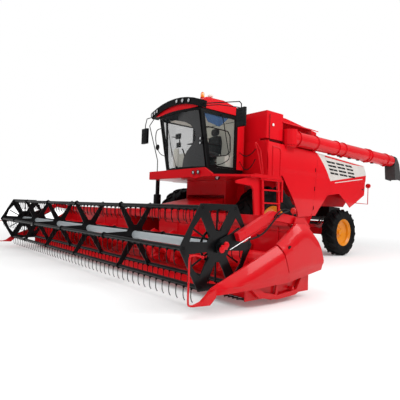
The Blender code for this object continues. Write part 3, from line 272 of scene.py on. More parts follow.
RED, RED_SHADE = (0.64, 0.004, 0.010), (0.54, 0.003, 0.008)
red = finish(
    "red_enamel",
    enamel(RED, RED_SHADE, 0.24),
    Coat_Weight=0.16,
    Coat_Roughness=0.04,
    Specular_IOR_Level=0.12,
)
BLACK, BLACK_WORN = (0.0015, 0.0015, 0.002), (0.005, 0.0055, 0.006)
black = finish(
    "black_powder_coat",
    lambda place: {
        "Base Color": place.noise(2.2, 4).ramp(0.3, 0.75).blend(BLACK, BLACK_WORN),
        "Roughness": place.noise(20, 5) * 0.2 + 0.22,
        "Normal": place.noise(260, 2).bump(0.15, 0.001, 0.004),
    },
    Specular_IOR_Level=0.14,
)
steel = finish(
    "bright_steel",
    lambda place: {
        "Base Color": place.noise(3, 4).blend((0.52, 0.53, 0.54), (0.66, 0.67, 0.68)),
        "Roughness": place.noise(40, 4, (0.05, 1, 1)) * 0.25 + 0.16,
        "Normal": place.noise(180, 2, (0.04, 1, 1)).bump(0.12, 0.001, 0.002),
    },
    Metallic=1.0,
)
plastic = finish(
    "black_plastic",
    lambda place: {
        "Base Color": place.noise(4, 3).blend((0.003, 0.0035, 0.004), (0.009, 0.010, 0.011)),
        "Roughness": place.noise(30, 3) * 0.2 + 0.38,
        "Normal": place.cells(420.0).bump(0.2, 0.001, 0.003),
    },
    Specular_IOR_Level=0.14,
)
cast_iron = finish(
    "cast_iron",
    lambda place: {
        "Base Color": place.noise(14, 5).blend((0.020, 0.019, 0.018), (0.055, 0.050, 0.045)),
        "Roughness": place.noise(50, 4) * 0.3 + 0.45,
        "Normal": place.noise(220, 4).bump(0.35, 0.002, 0.003),
    },
    Metallic=0.6,
)


def repaint(material, *names):
    """Gives carried-over frame pieces this finish."""
    for name in names:
        nodes[name].data.materials.clear()
        nodes[name].data.materials.append(material)


repaint(
    red, "chassis_frame", "front_axle", "rear_axle", "knuckle_left", "knuckle_right", "threshing_body",
    "side_panel_front_left", "side_panel_front_right", "side_door_right", "rear_hood", "grain_tank",
    "unloading_auger", "platform", "ladder", "handrails", "feeder_house", "lift_barrel_left",
    "lift_barrel_right", "header_frame", "divider_front_left", "divider_front_right",
    "divider_rear_left", "divider_rear_right", "table_auger", "reel_arm_left", "reel_arm_right",
)
repaint(
    black, "cab_frame", "cab_door", "side_window_frame", "light_bar_and_mirrors", "cutterbar",
    "straw_chopper", "reel_carriage_left", "reel_carriage_right",
    *(f"bat_{number}" for number in range(1, 7)),
)
repaint(steel, "lift_rod_left", "lift_rod_right")
repaint(cast_iron, "engine")


# ------------------------------------------------------------------ wheels
# Steel disc wheels with bar-lug drive tyres: moulded rubber, two staggered
# rows of sloping lugs that meet at the middle, on bolted yellow dished rims.
AXIS = 0.0001  # the radius of a profile point on the turning line


def add_lathe(bm, profile, centre, steps=64, axis="X"):
    """Turns a closed profile of (along, radius) points about a line through centre."""
    rings = []
    for step in range(steps):
        angle = 2 * math.pi * step / steps
        c, s = math.cos(angle), math.sin(angle)
        points = [(along, radius * c, radius * s) for along, radius in profile]
        if axis == "Z":
            points = [(b, c2, a) for a, b, c2 in points]
        if axis == "Y":
            points = [(b, a, c2) for a, b, c2 in points]
        rings.append([bm.verts.new(Vector(centre) + Vector(point)) for point in points])
    for first, second in zip(rings, rings[1:] + rings[:1]):
        for number in range(len(profile)):
            after = (number + 1) % len(profile)
            corners = [first[number], first[after], second[after], second[number]]
            bm.faces.new(corners)
    bmesh.ops.remove_doubles(bm, verts=bm.verts, dist=0.00001)


def add_box(bm, low, high, bevel=0.004):
    """A block between two corners with its edges rounded."""
    low, high = Vector(low), Vector(high)
    made = bmesh.ops.create_cube(bm, size=1)
    corners = made["verts"]
    bmesh.ops.scale(bm, vec=high - low, verts=corners)
    if bevel:
        edges = list({edge for corner in corners for edge in corner.link_edges})
        made = bmesh.ops.bevel(bm, geom=edges, offset=bevel, segments=2, affect="EDGES", profile=0.5)
        rounded = {corner for face in made["faces"] for corner in face.verts}
        corners = list(rounded | {corner for corner in corners if corner.is_valid})
    bmesh.ops.translate(bm, vec=(low + high) / 2, verts=corners)


def add_rod(bm, points, radius, sides=10, closed=False):
    """A round bar bent through the points, with flat ends."""
    points = [Vector(point) for point in points]
    count = len(points)
    rings, side = [], None
    for number, point in enumerate(points):
        before = points[number - 1] if number or closed else point
        after = points[(number + 1) % count] if number < count - 1 or closed else point
        along = (after - before).normalized()
        if side is None:
            side = along.orthogonal().normalized()
        side = (side - along * side.dot(along)).normalized()
        other = along.cross(side)
        rings.append([
            bm.verts.new(point + (side * math.cos(turn) + other * math.sin(turn)) * radius)
            for turn in (2 * math.pi * step / sides for step in range(sides))
        ])
    pairs = list(zip(rings, rings[1:])) + ([(rings[-1], rings[0])] if closed else [])
    for first, second in pairs:
        for step in range(sides):
            after = (step + 1) % sides
            bm.faces.new((first[step], first[after], second[after], second[step]))
    if not closed:
        bm.faces.new(rings[0][::-1])
        bm.faces.new(rings[-1])


def smooth(points, per_span=6):
    """A flowing line through the points."""
    points = [Vector(point) for point in points]
    line = []
    for number in range(len(points) - 1):
        p0 = points[max(number - 1, 0)]
        p1, p2 = points[number], points[number + 1]
        p3 = points[min(number + 2, len(points) - 1)]
        for step in range(per_span):
            t = step / per_span
            line.append(
                0.5 * (2 * p1 + (p2 - p0) * t + (2 * p0 - 5 * p1 + 4 * p2 - p3) * t**2
                       + (3 * p1 - p0 - 3 * p2 + p3) * t**3)
            )
    return line + [points[-1]]


def add_plate(bm, axis, outline, low, high, holes=()):
    """A sheet of this outline, seen along axis, with round or shaped holes."""
    curve = bpy.data.curves.new("sheet", "CURVE")
    curve.dimensions, curve.fill_mode = "2D", "BOTH"
    curve.extrude = (high - low) / 2
    for line in (outline, *holes):
        spline = curve.splines.new("POLY")
        spline.points.add(len(line) - 1)
        for point, (a, b) in zip(spline.points, line):
            point.co = (a, b, 0, 1)
        spline.use_cyclic_u = True
    made = bpy.data.objects.new("sheet", curve)
    bpy.context.scene.collection.objects.link(made)
    mesh = bpy.data.meshes.new_from_object(made.evaluated_get(bpy.context.evaluated_depsgraph_get()))
    middle = (low + high) / 2
    turns = {
        "x": Matrix(((0, 0, 1, middle), (1, 0, 0, 0), (0, 1, 0, 0), (0, 0, 0, 1))),
        "y": Matrix(((1, 0, 0, 0), (0, 0, -1, middle), (0, 1, 0, 0), (0, 0, 0, 1))),
        "z": Matrix(((1, 0, 0, 0), (0, 1, 0, 0), (0, 0, 1, middle), (0, 0, 0, 1))),
    }
    mesh.transform(turns[axis])
    bm.from_mesh(mesh)
    bpy.data.objects.remove(made)
    bpy.data.curves.remove(curve)
    bpy.data.meshes.remove(mesh)
    bmesh.ops.remove_doubles(bm, verts=bm.verts, dist=0.00001)


def hang(name, bm, material, body, angle=35):
    """Makes the finished piece, shades it and fixes it to the body that carries it."""
    bmesh.ops.recalc_face_normals(bm, faces=bm.faces)
    mesh = bpy.data.meshes.new(name)
    bm.to_mesh(mesh)
    bm.free()
    mesh.shade_smooth()
    mesh.set_sharp_from_angle(angle=math.radians(angle))
    mesh.materials.append(material)
    piece = bpy.data.objects.new(name, mesh)
    bpy.context.scene.collection.objects.link(piece)
    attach(piece, body)
    return piece


rubber = finish(
    "tyre_rubber",
    lambda place: {
        "Base Color": place.noise(6, 5).ramp(0.45, 0.75).blend(
            (0.002, 0.002, 0.0025), (0.009, 0.0085, 0.008)
        ),
        "Roughness": place.noise(30, 4) * 0.25 + 0.55,
        "Normal": place.noise(150, 3).bump(0.3, 0.002, 0.004),
    },
    Specular_IOR_Level=0.12,
)
yellow = finish(
    "yellow_enamel",
    enamel((0.74, 0.26, 0.006), (0.64, 0.20, 0.004), 0.24, 0.004),
    Coat_Weight=0.25,
    Coat_Roughness=0.1,
    Specular_IOR_Level=0.25,
)


def add_lugs(bm, centre, radius, half, count, height):
    """Two staggered rows of bars that slope from the middle of the tread to its shoulders."""
    stations = 7
    for side in (1, -1):
        for number in range(count):
            start = 2 * math.pi * (number + (0.5 if side < 0 else 0)) / count
            rings = []
            for station in range(stations):
                share = station / (stations - 1)
                x = side * half * (-0.04 + 1.02 * share)
                angle = start + 0.30 * share
                drop = 0.0 if share < 0.75 else (share - 0.75) ** 1.5 * radius * 0.75
                top, foot = radius - 0.001 - drop, radius - height - 0.02 - drop * 1.15
                wide = 0.030 * radius / 0.9 * (1 + 0.5 * share)
                ring = []
                for reach, spread in ((foot, 1.4), (top, 0.8), (top, -0.8), (foot, -1.4)):
                    at = angle + spread * wide / radius
                    ring.append(bm.verts.new(
                        Vector(centre) + Vector((x, reach * math.cos(at), reach * math.sin(at)))
                    ))
                rings.append(ring)
            for first, second in zip(rings, rings[1:]):
                for corner in range(4):
                    after = (corner + 1) % 4
                    bm.faces.new((first[corner], first[after], second[after], second[corner]))
            bm.faces.new(rings[0])
            bm.faces.new(rings[-1][::-1])


def rim_bolts(bm, x, centre, radius, count, size, out):
    """Studs and nuts in a ring round the hub."""
    for number in range(count):
        angle = 2 * math.pi * number / count
        y, z = centre[1] + radius * math.cos(angle), centre[2] + radius * math.sin(angle)
        add_lathe(bm, [(0, AXIS), (0, size), (out * size, size * 0.92), (out * size, AXIS)], (x, y, z), 6)
        add_lathe(bm, [(0, AXIS), (0, size * 0.5), (out * size * 1.6, size * 0.5), (out * size * 1.6, AXIS)],
                  (x, y, z), 8)


for end, height, lugs, bolts in (("front", 0.040, 20, 10), ("rear", 0.034, 18, 8)):
    for side, out in (("left", 1), ("right", -1)):
        low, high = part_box(f"{end}_tyre_{side}")
        centre, body = (low + high) / 2, f"{end}_wheel_{side}"
        radius, half = (high.z - low.z) / 2, (high.x - low.x) / 2
        seat_radius = (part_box(f"{end}_rim_{side}")[1].z - centre.z) * 1.005
        crown = radius - height
        bulge = crown - seat_radius
        wall = [
            (0.74, seat_radius), (0.80, seat_radius + 0.02), (0.93, seat_radius + bulge * 0.20),
            (0.985, seat_radius + bulge * 0.42), (0.985, seat_radius + bulge * 0.60),
            (0.93, seat_radius + bulge * 0.80), (0.80, crown - 0.018), (0.45, crown - 0.003), (0.0, crown),
        ]
        profile = [(half * a, r) for a, r in wall] + [(-half * a, r) for a, r in wall[-2::-1]]
        tyre_bm = bmesh.new()
        add_lathe(tyre_bm, profile, centre, 96)
        for step in (0.30, 0.48, 0.52):
            ridge = seat_radius + bulge * step
            for face in (1, -1):
                foot_x, top_x = face * half * 0.93, face * half * 0.992
                band = [(foot_x, ridge), (top_x, ridge + 0.003), (top_x, ridge + 0.007),
                        (foot_x, ridge + 0.010)]
                add_lathe(tyre_bm, band, centre, 96)
        add_lugs(tyre_bm, centre, radius, half * 0.985, lugs, height)
        tyre = hang(f"{body}_tyre", tyre_bm, rubber, body)
        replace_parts(tyre, f"{end}_tyre_{side}")

        rim_low, rim_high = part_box(f"{end}_rim_{side}")
        face_x = (rim_high.x if out > 0 else rim_low.x) - out * 0.004
        back_x = (rim_low.x if out > 0 else rim_high.x) + out * 0.004
        r = (rim_high.z - rim_low.z) / 2
        dish = [
            (0.0, r), (0.0, r - 0.006), (0.012, r - 0.020), (0.030, r - 0.026), (0.050, r - 0.050),
            (0.110, r - 0.062), (0.125, r * 0.78), (0.150, r * 0.60), (0.172, r * 0.44),
            (0.160, r * 0.40), (0.160, r * 0.30),
        ]
        face_x, back_x = face_x - centre.x, back_x - centre.x
        front = [(face_x - out * a, reach) for a, reach in dish]
        behind = [(x - out * 0.010, reach) for x, reach in front[::-1] if reach < r - 0.055]
        behind += [
            (back_x + out * 0.03, r - 0.040), (back_x, r - 0.022), (back_x, r),
            (back_x + out * 0.02, r - 0.01), (face_x - out * 0.03, r - 0.014),
        ]
        rim_bm = bmesh.new()
        add_lathe(rim_bm, front + behind, centre, 80)
        hub_x = face_x - out * 0.160
        add_lathe(rim_bm, [(hub_x, AXIS), (hub_x, r * 0.31), (hub_x - out * 0.01, r * 0.31),
                           (hub_x - out * 0.01, AXIS)], centre, 48)
        rim = hang(f"{body}_rim", rim_bm, yellow, body)
        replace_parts(rim, f"{end}_rim_{side}")
        hub_bm = bmesh.new()
        rim_bolts(hub_bm, centre.x + hub_x, centre, r * 0.36, bolts, 0.014, out)
        cap = [(0, AXIS), (0, r * 0.24), (0.012, r * 0.24), (0.016, r * 0.19), (0.050, r * 0.17),
               (0.060, r * 0.12), (0.060, AXIS)]
        add_lathe(hub_bm, [(hub_x + out * a, reach) for a, reach in cap], centre, 32)
        hang(f"{body}_hub", hub_bm, yellow, body)


# -------------------------------------------------------------- side covers
# Pressed steel covers over the threshing works, one fixed and one a hinged
# door a side: rolled in at the top, tucked under at the foot, white air vent
# field with hooded slots, and a pinstripe below it.
split_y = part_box("side_door_left")[0].y
SHEET_BACK, SHEET_FACE = 1.436, 1.446  # a cover's two faces where it stands widest
FRONT_COVER = [
    (-1.314, 2.89), (-1.264, 2.02), (-0.724, 2.09), (-0.004, 1.21), (0.046, 1.09), (0.612, 1.13),
    (0.762, 2.84),
]
REAR_COVER = [
    (0.630, 1.30), (0.770, 2.838), (3.330, 2.722), (3.412, 2.42), (3.352, 1.81), (2.526, 1.40), (2.20, 1.60),
    (1.886, 1.78), (1.276, 1.71), (0.926, 1.32), (0.80, 1.135), (0.63, 1.135),
]
WHITE_FIELD = ((0.786, 2.856), (1.416, 2.114), (3.416, 2.424))
SLOT_HEIGHT, SLOT_TILT = 0.052, -0.02


def rolled(z):
    """How far the cover's face stands in from its widest at this height."""
    top = max(0.0, z - 2.40) / 0.45
    foot = max(0.0, 1.62 - z) / 0.5
    crease = 0.010 if z < 2.20 else 0.010 * max(0.0, 1 - (z - 2.20) / 0.03)
    return 0.075 * top**2 + 0.055 * foot**1.6 + crease


def pressed_cover(name, outline, side, body, material, replaced, cuts=0.06):
    """A cover bent to its rolled section, for one side, that replaces the plain one."""
    bm = bmesh.new()
    add_plate(bm, "x", outline, SHEET_BACK, SHEET_FACE)
    for step in range(int(1.8 / cuts)):
        geometry = bm.verts[:] + bm.edges[:] + bm.faces[:]
        bmesh.ops.bisect_plane(bm, geom=geometry, plane_co=(0, 0, 1.12 + step * cuts), plane_no=(0, 0, 1))
    for vert in bm.verts:
        vert.co.x -= rolled(vert.co.z)
        vert.co.x *= side
    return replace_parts(hang(name, bm, material, body, 50), replaced)


def above_line(place, first, second):
    """1 on the upper side of the line through two (y, z) points, with a crisp painted edge."""
    slope = (second[1] - first[1]) / (second[0] - first[0])
    rise = place.axis(2) - (place.axis(1) - first[0]) * slope - first[1]
    return rise.ramp(-0.001, 0.001)


def two_tone(place):
    """The red enamel with the white field masked round the vents and the white stripe below."""
    ground = enamel(RED, RED_SHADE, 0.24)(place)
    field = above_line(place, *WHITE_FIELD[:2]) * above_line(place, *WHITE_FIELD[1:])
    stripe_foot = above_line(place, (1.646, 2.068), (3.326, 2.298))
    stripe = stripe_foot - above_line(place, (1.646, 2.090), (3.326, 2.324))
    stripe = stripe * place.axis(1).ramp(1.646, 1.650) * place.axis(1).ramp(3.20, 3.19)
    soil = place.noise(3, 5).ramp(0.4, 0.8) * 0.5
    white = soil.blend((0.60, 0.57, 0.54), (0.50, 0.47, 0.44))
    ground["Base Color"] = field.maths("MAXIMUM", field, stripe).blend(ground["Base Color"], white)
    return ground


two_tone_enamel = finish(
    "two_tone_enamel", two_tone, Coat_Weight=0.16, Coat_Roughness=0.04, Specular_IOR_Level=0.12
)
for side, sign in (("left", 1), ("right", -1)):
    pressed_cover(
        f"cover_front_{side}", FRONT_COVER, sign, "chassis", red, f"side_panel_front_{side}"
    )
    door = f"side_door_{side}"
    pressed_cover(f"cover_rear_{side}", REAR_COVER, sign, door, two_tone_enamel, door)
    slots, hoods = bmesh.new(), bmesh.new()
    for rank in range(4):
        for column in range(3):
            length = 0.42 if column < 2 else 0.38
            y = 1.20 + 0.49 * column + 0.055 * rank
            z = 2.665 - 0.100 * rank - 0.008 * column
            end = z + SLOT_TILT * length
            corners = [(y, z), (y + length, end), (y + length + 0.025, end - SLOT_HEIGHT),
                       (y + 0.035, z - SLOT_HEIGHT)]
            add_plate(slots, "x", corners, SHEET_BACK - 0.002, SHEET_FACE + 0.0015)
            lip = [(y - 0.004, z + 0.009), (y + length - 0.004, end + 0.009), (y + length, end - 0.003),
                   (y, z - 0.003)]
            add_plate(hoods, "x", lip, SHEET_BACK - 0.002, SHEET_FACE + 0.010)
            across, drop = y + length / 2, z + SLOT_TILT * length / 2
            strut = [(across, drop), (across + 0.010, drop), (across + 0.036, drop - SLOT_HEIGHT),
                     (across + 0.026, drop - SLOT_HEIGHT)]
            add_plate(hoods, "x", strut, SHEET_BACK - 0.002, SHEET_FACE + 0.005)
    for piece in (slots, hoods):
        for vert in piece.verts:
            vert.co.x = sign * (vert.co.x - rolled(vert.co.z))
    hang(f"vent_slots_{side}", slots, plastic, door)
    hang(f"vent_hoods_{side}", hoods, two_tone_enamel, door)
    fittings = bmesh.new()
    for z in (1.35, 1.85, 2.35):
        x = sign * (1.449 - rolled(z))
        add_rod(fittings, [(x, split_y + 0.030, z - 0.05), (x, split_y + 0.030, z + 0.05)], 0.010, 10)
    add_box(fittings, (sign * 1.437 - 0.004, 3.20, 1.965), (sign * 1.437 + 0.004, 3.32, 1.995), 0.003)
    hang(f"door_fittings_{side}", fittings, black, door)

# -------------------------------------------------------------- body trim
# Small things bolted to the body: the recessed handle on its front wall, the seam strips, fuel filler and
# hydraulic pipes over the rear axle.
trim = bmesh.new()
add_box(trim, (0.98, -1.288, 2.42), (1.13, -1.262, 2.455), 0.006)
add_box(trim, (1.0, -1.292, 2.14), (1.3, -1.284, 2.16), 0.002)
filler_cap = [(0.0, AXIS), (0.0, 0.06), (0.03, 0.06), (0.045, 0.05), (0.045, AXIS)]
add_lathe(trim, filler_cap, (0.7, -1.955, 2.0), 24, "Y")
hang("front_wall_handle", trim, plastic, "chassis")

pipes = bmesh.new()
for number, (x, z) in enumerate(((0.58, 0.92), (0.63, 0.96), (0.67, 0.90))):
    line = smooth([(x, 1.20, z + 0.3), (x + 0.02, 1.45, z + 0.05), (x, 1.85, z - 0.06 + 0.03 * number),
                   (x + 0.04, 2.06, z - 0.02), (x - 0.02, 2.35, z + 0.12)])
    add_rod(pipes, line, 0.014 + 0.002 * number, 10)
    add_rod(pipes, [(-p.x, p.y, p.z) for p in line], 0.014, 10)
for x in (-0.35, 0.35):
    line = [(x, 2.0, 0.84), (x * 1.2, 2.12, 0.80), (x * 1.5, 2.13, 0.785), (x * 1.8, 2.13, 0.80)]
    add_rod(pipes, smooth(line), 0.016, 10)
hang("axle_hoses", pipes, plastic, "chassis")

# ------------------------------------------------------------- grain tank
# Sheet steel hopper with folded extensions: a round sight hole and black seam strips up and along its cheeks.
tank = bmesh.new()
add_lathe(tank, [(-0.004, AXIS), (-0.004, 0.034), (0.004, 0.034), (0.004, AXIS)], (1.352, -1.03, 3.30), 24)
hang("sight_hole", tank, finish(
    "pale_lens",
    lambda place: {
        "Base Color": place.noise(30, 3).blend((0.70, 0.66, 0.64), (0.86, 0.84, 0.82)),
        "Roughness": place.noise(60, 2) * 0.1 + 0.12,
    },
), "chassis")
seams = bmesh.new()
for sign in (1, -1):
    add_rod(seams, [(sign * 1.350, -1.16, 2.92), (sign * 1.350, -1.16, 3.54)], 0.006, 8)
    add_rod(seams, [(sign * 1.350, -1.20, 2.915), (sign * 1.350, -0.42, 2.905)], 0.007, 8)
hang("tank_seams", seams, black, "chassis")

# -------------------------------------------------------- unloading auger
# Rolled steel tube in bolted lengths: flanged clamps, a welded seam, the
# slide bracket and drain doors under it, and a moulded rubber spout.
auger_low, auger_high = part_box("unloading_auger")
axis_x, axis_z = 1.38, (auger_low.z + auger_high.z) / 2
clamps = bmesh.new()
for y in (0.62, 2.02, 3.42, 4.72):
    ring = [(-0.035, 0.189), (-0.035, 0.199), (-0.006, 0.199), (-0.006, 0.212),
            (0.006, 0.212), (0.006, 0.199), (0.035, 0.199), (0.035, 0.189)]
    add_lathe(clamps, ring, (axis_x, y, axis_z), 48, "Y")
    add_box(clamps, (axis_x - 0.035, y - 0.03, axis_z - 0.232),
            (axis_x + 0.035, y + 0.03, axis_z - 0.185), 0.005)
    for step in range(12):
        angle = math.pi * step / 6
        x, z = axis_x + 0.205 * math.cos(angle), axis_z + 0.205 * math.sin(angle)
        add_rod(clamps, [(x, y - 0.012, z), (x, y + 0.012, z)], 0.006, 6)
add_rod(clamps, [(axis_x, 0.66, axis_z + 0.190), (axis_x, 4.70, axis_z + 0.190)], 0.003, 6)
hang("auger_clamps", clamps, red, "unloading_auger")
drains = bmesh.new()
for y in (1.4, 1.9, 2.5, 3.0, 3.9):
    add_box(drains, (axis_x - 0.03, y - 0.05, axis_z - 0.215),
            (axis_x + 0.03, y + 0.05, axis_z - 0.185), 0.004)
hang("auger_brackets", drains, black, "unloading_auger")

spout_rubber = finish(
    "spout_rubber",
    lambda place: {
        "Base Color": place.noise(9, 5).blend((0.018, 0.018, 0.019), (0.050, 0.048, 0.046)),
        "Roughness": place.noise(25, 4) * 0.2 + 0.5,
        "Normal": (place.noise(90, 3) * 0.5 + place.axis(0).noise(40)).bump(0.3, 0.003, 0.01),
    },
)
repaint(spout_rubber, "unloading_spout")
cuff = bmesh.new()
add_lathe(cuff, [(-0.03, 0.170), (-0.03, 0.192), (0.012, 0.192), (0.012, 0.170)],
          (axis_x, 5.172, axis_z), 48, "Y")
for number in range(10):
    angle = 2 * math.pi * number / 10
    x, z = axis_x + 0.192 * math.cos(angle), axis_z + 0.192 * math.sin(angle)
    add_rod(cuff, [(x, 5.13, z), (x, 5.186, z)], 0.007, 6)
hang("spout_clamp", cuff, black, "unloading_auger")

# ------------------------------------------------------ rear hood and lamps
# The sheet steel tail: moulded red lenses on its lamp pods, a hinged hatch
# with its grip bars, and slatted air grilles in the hatch and the deck.
lamp_red = finish(
    "red_lens",
    lambda place: {
        "Base Color": place.noise(60, 2).blend((0.60, 0.01, 0.01), (0.75, 0.03, 0.02)),
        "Roughness": place.noise(80, 2) * 0.1 + 0.08,
    },
    Coat_Weight=1.0,
    Coat_Roughness=0.03,
)
for side, sign in (("left", 1), ("right", -1)):
    lens_bm = bmesh.new()
    for z, size in ((2.165, 0.040), (2.085, 0.030)):
        glass = [(0, AXIS), (0, size), (0.012, size * 0.9), (0.018, size * 0.5), (0.020, AXIS)]
        add_lathe(lens_bm, [(-0.05 - a, r) for a, r in glass], (sign * 1.25, 4.0, z), 24, "Y")
    hang(f"tail_lamp_{side}", lens_bm, lamp_red, "chassis")

tail_y, tail_z, tail_lean = 3.286, 1.84, 0.112
hatch = bmesh.new()
for low, high, half in ((1.90, 2.34, 1.02), (2.345, 2.41, 1.30)):
    foot, head = (tail_y + (z - tail_z) * tail_lean for z in (low, high))
    panel = [(foot, low), (foot + 0.014, low + 0.012), (head + 0.014, high - 0.012), (head, high)]
    add_plate(hatch, "x", panel, -half, half)
for x in (-0.7, 0.7):
    add_rod(hatch, [(x - 0.06, tail_y + 0.072, 2.343), (x + 0.06, tail_y + 0.072, 2.343)], 0.012, 10)
deck_lid = [(1.36, 2.792), (1.38, 2.816), (3.08, 2.733), (3.10, 2.710)]
add_plate(hatch, "x", deck_lid, -1.10, 1.10)
hang("rear_hatch", hatch, red, "chassis")
grille = bmesh.new()
for number in range(8):
    z = 1.99 + 0.036 * number
    y = tail_y + (z - tail_z) * tail_lean + 0.014
    slat = [(y, z), (y + 0.016, z + 0.004), (y + 0.004, z + 0.024), (y, z + 0.024)]
    add_plate(grille, "x", slat, -0.42, 0.42)
for number in range(26):
    y = 1.50 + 0.058 * number
    z = 2.811 - (y - 1.38) * 0.0488
    add_box(grille, (-0.62, y, z), (0.62, y + 0.030, z + 0.012), 0.003)
for x in (-0.62, 0.0, 0.62):
    add_rod(grille, [(x, 1.48, 2.815), (x, 3.00, 2.741)], 0.010, 8)
for x in (-0.78, 0.78):
    y = tail_y + 0.026
    add_rod(grille, smooth([(x - 0.07, y, 1.965), (x - 0.06, y + 0.035, 1.965), (x + 0.06, y + 0.035, 1.965),
                            (x + 0.07, y, 1.965)], 4), 0.008, 8)
hang("rear_grilles", grille, plastic, "chassis")


# -------------------------------------------------------------------- cab
# A bonded cab: bowed windscreen that leans out at the top, black ceramic
# print and a roller blind behind it, tinted panes set in rubber.
def screen_y(x, z, inset=0.0):
    """The windscreen's outer face in plan at this height, moved in by inset."""
    bow = 2.038 - inset
    return -0.718 - math.sqrt(bow**2 - x**2) - 0.20 * (z - 2.18)


glass = finish(
    "tinted_glass",
    lambda place: {
        "Base Color": place.noise(1.5, 2).blend((0.010, 0.014, 0.016), (0.020, 0.026, 0.028)),
        "Roughness": place.noise(6, 4).ramp(0.5, 0.9) * 0.04 + 0.015,
        "Alpha": place.noise(2, 2) * 0.05 + 0.16,
    },
    Specular_IOR_Level=0.6,
)
repaint(glass, "windscreen", "cab_door_glass", "side_window_glass")


def screen_sheet(bm, outline, inset, thick=0.004):
    """A skin of this (x, z) outline that follows the windscreen's bow."""
    add_plate(bm, "y", outline, -0.5, 0.5)
    for axis, start, stop, step in ((0, -0.74, 0.74, 0.08), (2, 2.2, 3.4, 0.2)):
        for number in range(int((stop - start) / step) + 1):
            place, way = [0, 0, 0], [0, 0, 0]
            place[axis], way[axis] = start + number * step, 1
            everything = bm.verts[:] + bm.edges[:] + bm.faces[:]
            bmesh.ops.bisect_plane(bm, geom=everything, plane_co=place, plane_no=way)
    for vert in bm.verts:
        back = thick if vert.co.y > 0 else 0.0
        vert.co.y = screen_y(vert.co.x, vert.co.z, inset) + back


print_bm = bmesh.new()
screen_sheet(print_bm, [
    (-0.735, 3.415), (-0.735, 3.40), (-0.44, 3.385), (0.01, 3.272), (0.34, 3.193), (0.47, 3.13), (0.57, 3.02),
    (0.60, 2.92), (0.565, 2.77), (0.425, 2.65), (0.28, 2.53), (0.157, 2.39), (0.067, 2.185), (0.735, 2.185),
    (0.735, 3.415),
], -0.005)
blind = finish(
    "blind_and_print",
    lambda place: {
        "Base Color": place.noise(3, 4).blend((0.006, 0.007, 0.008), (0.016, 0.018, 0.020)),
        "Roughness": place.noise(12, 3) * 0.06 + 0.05,
    },
    Specular_IOR_Level=0.4,
)
hang("screen_print", print_bm, blind, "chassis")
rubber_bm = bmesh.new()
edge = [
    (-0.742, 2.186), (-0.742, 2.8), (-0.742, 3.414), (-0.4, 3.414), (0, 3.414), (0.4, 3.414),
    (0.742, 3.414), (0.742, 2.8), (0.742, 2.186), (0.4, 2.186), (0, 2.186), (-0.4, 2.186),
]
add_rod(rubber_bm, [(x, screen_y(x, z, 0.002), z) for x, z in edge], 0.011, 8, closed=True)
hang("screen_rubber", rubber_bm, rubber, "chassis")

wiper = bmesh.new()
add_rod(wiper, [(-0.15, screen_y(-0.15, 2.22) - 0.02, 2.20), (-0.22, screen_y(-0.22, 2.5) - 0.03, 2.50),
                (-0.30, screen_y(-0.3, 2.8) - 0.022, 2.80)], 0.007, 8)
blade = [(-0.30, 2.45), (-0.295, 2.65), (-0.30, 2.8), (-0.31, 2.98), (-0.33, 3.12)]
add_rod(wiper, [(x, screen_y(x, z) - 0.010, z) for x, z in blade], 0.007, 6)
add_lathe(wiper, [(-0.035, AXIS), (-0.035, 0.022), (0.0, 0.028), (0.0, AXIS)],
          (-0.15, screen_y(-0.15, 2.2) + 0.005, 2.20), 16, "Y")
hang("wiper", wiper, plastic, "chassis")

# Red pressed cheeks close the cab's rear corners beside the doors.
cheeks = bmesh.new()
for sign in (1, -1):
    outline = [(-1.690, 2.184), (-1.466, 2.184), (-1.466, 3.470), (-1.690, 3.470)]
    add_plate(cheeks, "x", outline, *sorted((sign * 0.8005, sign * 0.812)))
    add_rod(cheeks, [(sign * 0.812, -1.480, 2.19), (sign * 0.812, -1.480, 3.46)], 0.012, 8)
hang("cab_rear_cheeks", cheeks, red, "chassis")
back_panel = bmesh.new()
add_box(back_panel, (-0.79, -1.4635, 2.19), (0.79, -1.458, 3.44), 0.002)
hang("cab_back_panel", back_panel, red, "chassis")

# ------------------------------------------------------------ cab interior
# Padded cloth seat on its suspension box, wheel and column, armrest with its
# lever, two screens on the pillar, pale moulded lining and a ribbed floor mat.
# The lining's pale colour also feeds its emission, so it glows faintly of itself: painted light that
# brightens the cab's inside as seen through the glass.
glowing_lining = finish(
    "pale_lining_painted_glow",
    lambda place: {
        "Base Color": place.noise(3, 3).blend((0.62, 0.61, 0.54), (0.72, 0.71, 0.63)),
        "Emission Color": place.noise(3, 3).blend((0.62, 0.61, 0.54), (0.72, 0.71, 0.63)),
        "Roughness": place.noise(40, 3) * 0.15 + 0.6,
        "Normal": place.noise(300, 2).bump(0.15, 0.001),
    },
    Emission_Strength=0.25,
)
cloth = finish(
    "seat_cloth",
    lambda place: {
        "Base Color": place.noise(9, 4).blend((0.018, 0.019, 0.022), (0.045, 0.046, 0.050)),
        "Roughness": place.noise(90, 2) * 0.2 + 0.72,
        "Normal": (place.waves("X", 90.0) + place.waves("Z", 90.0)).bump(0.35, 0.001),
    },
    Sheen_Weight=0.3,
)
seat_low, seat_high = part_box("seat")


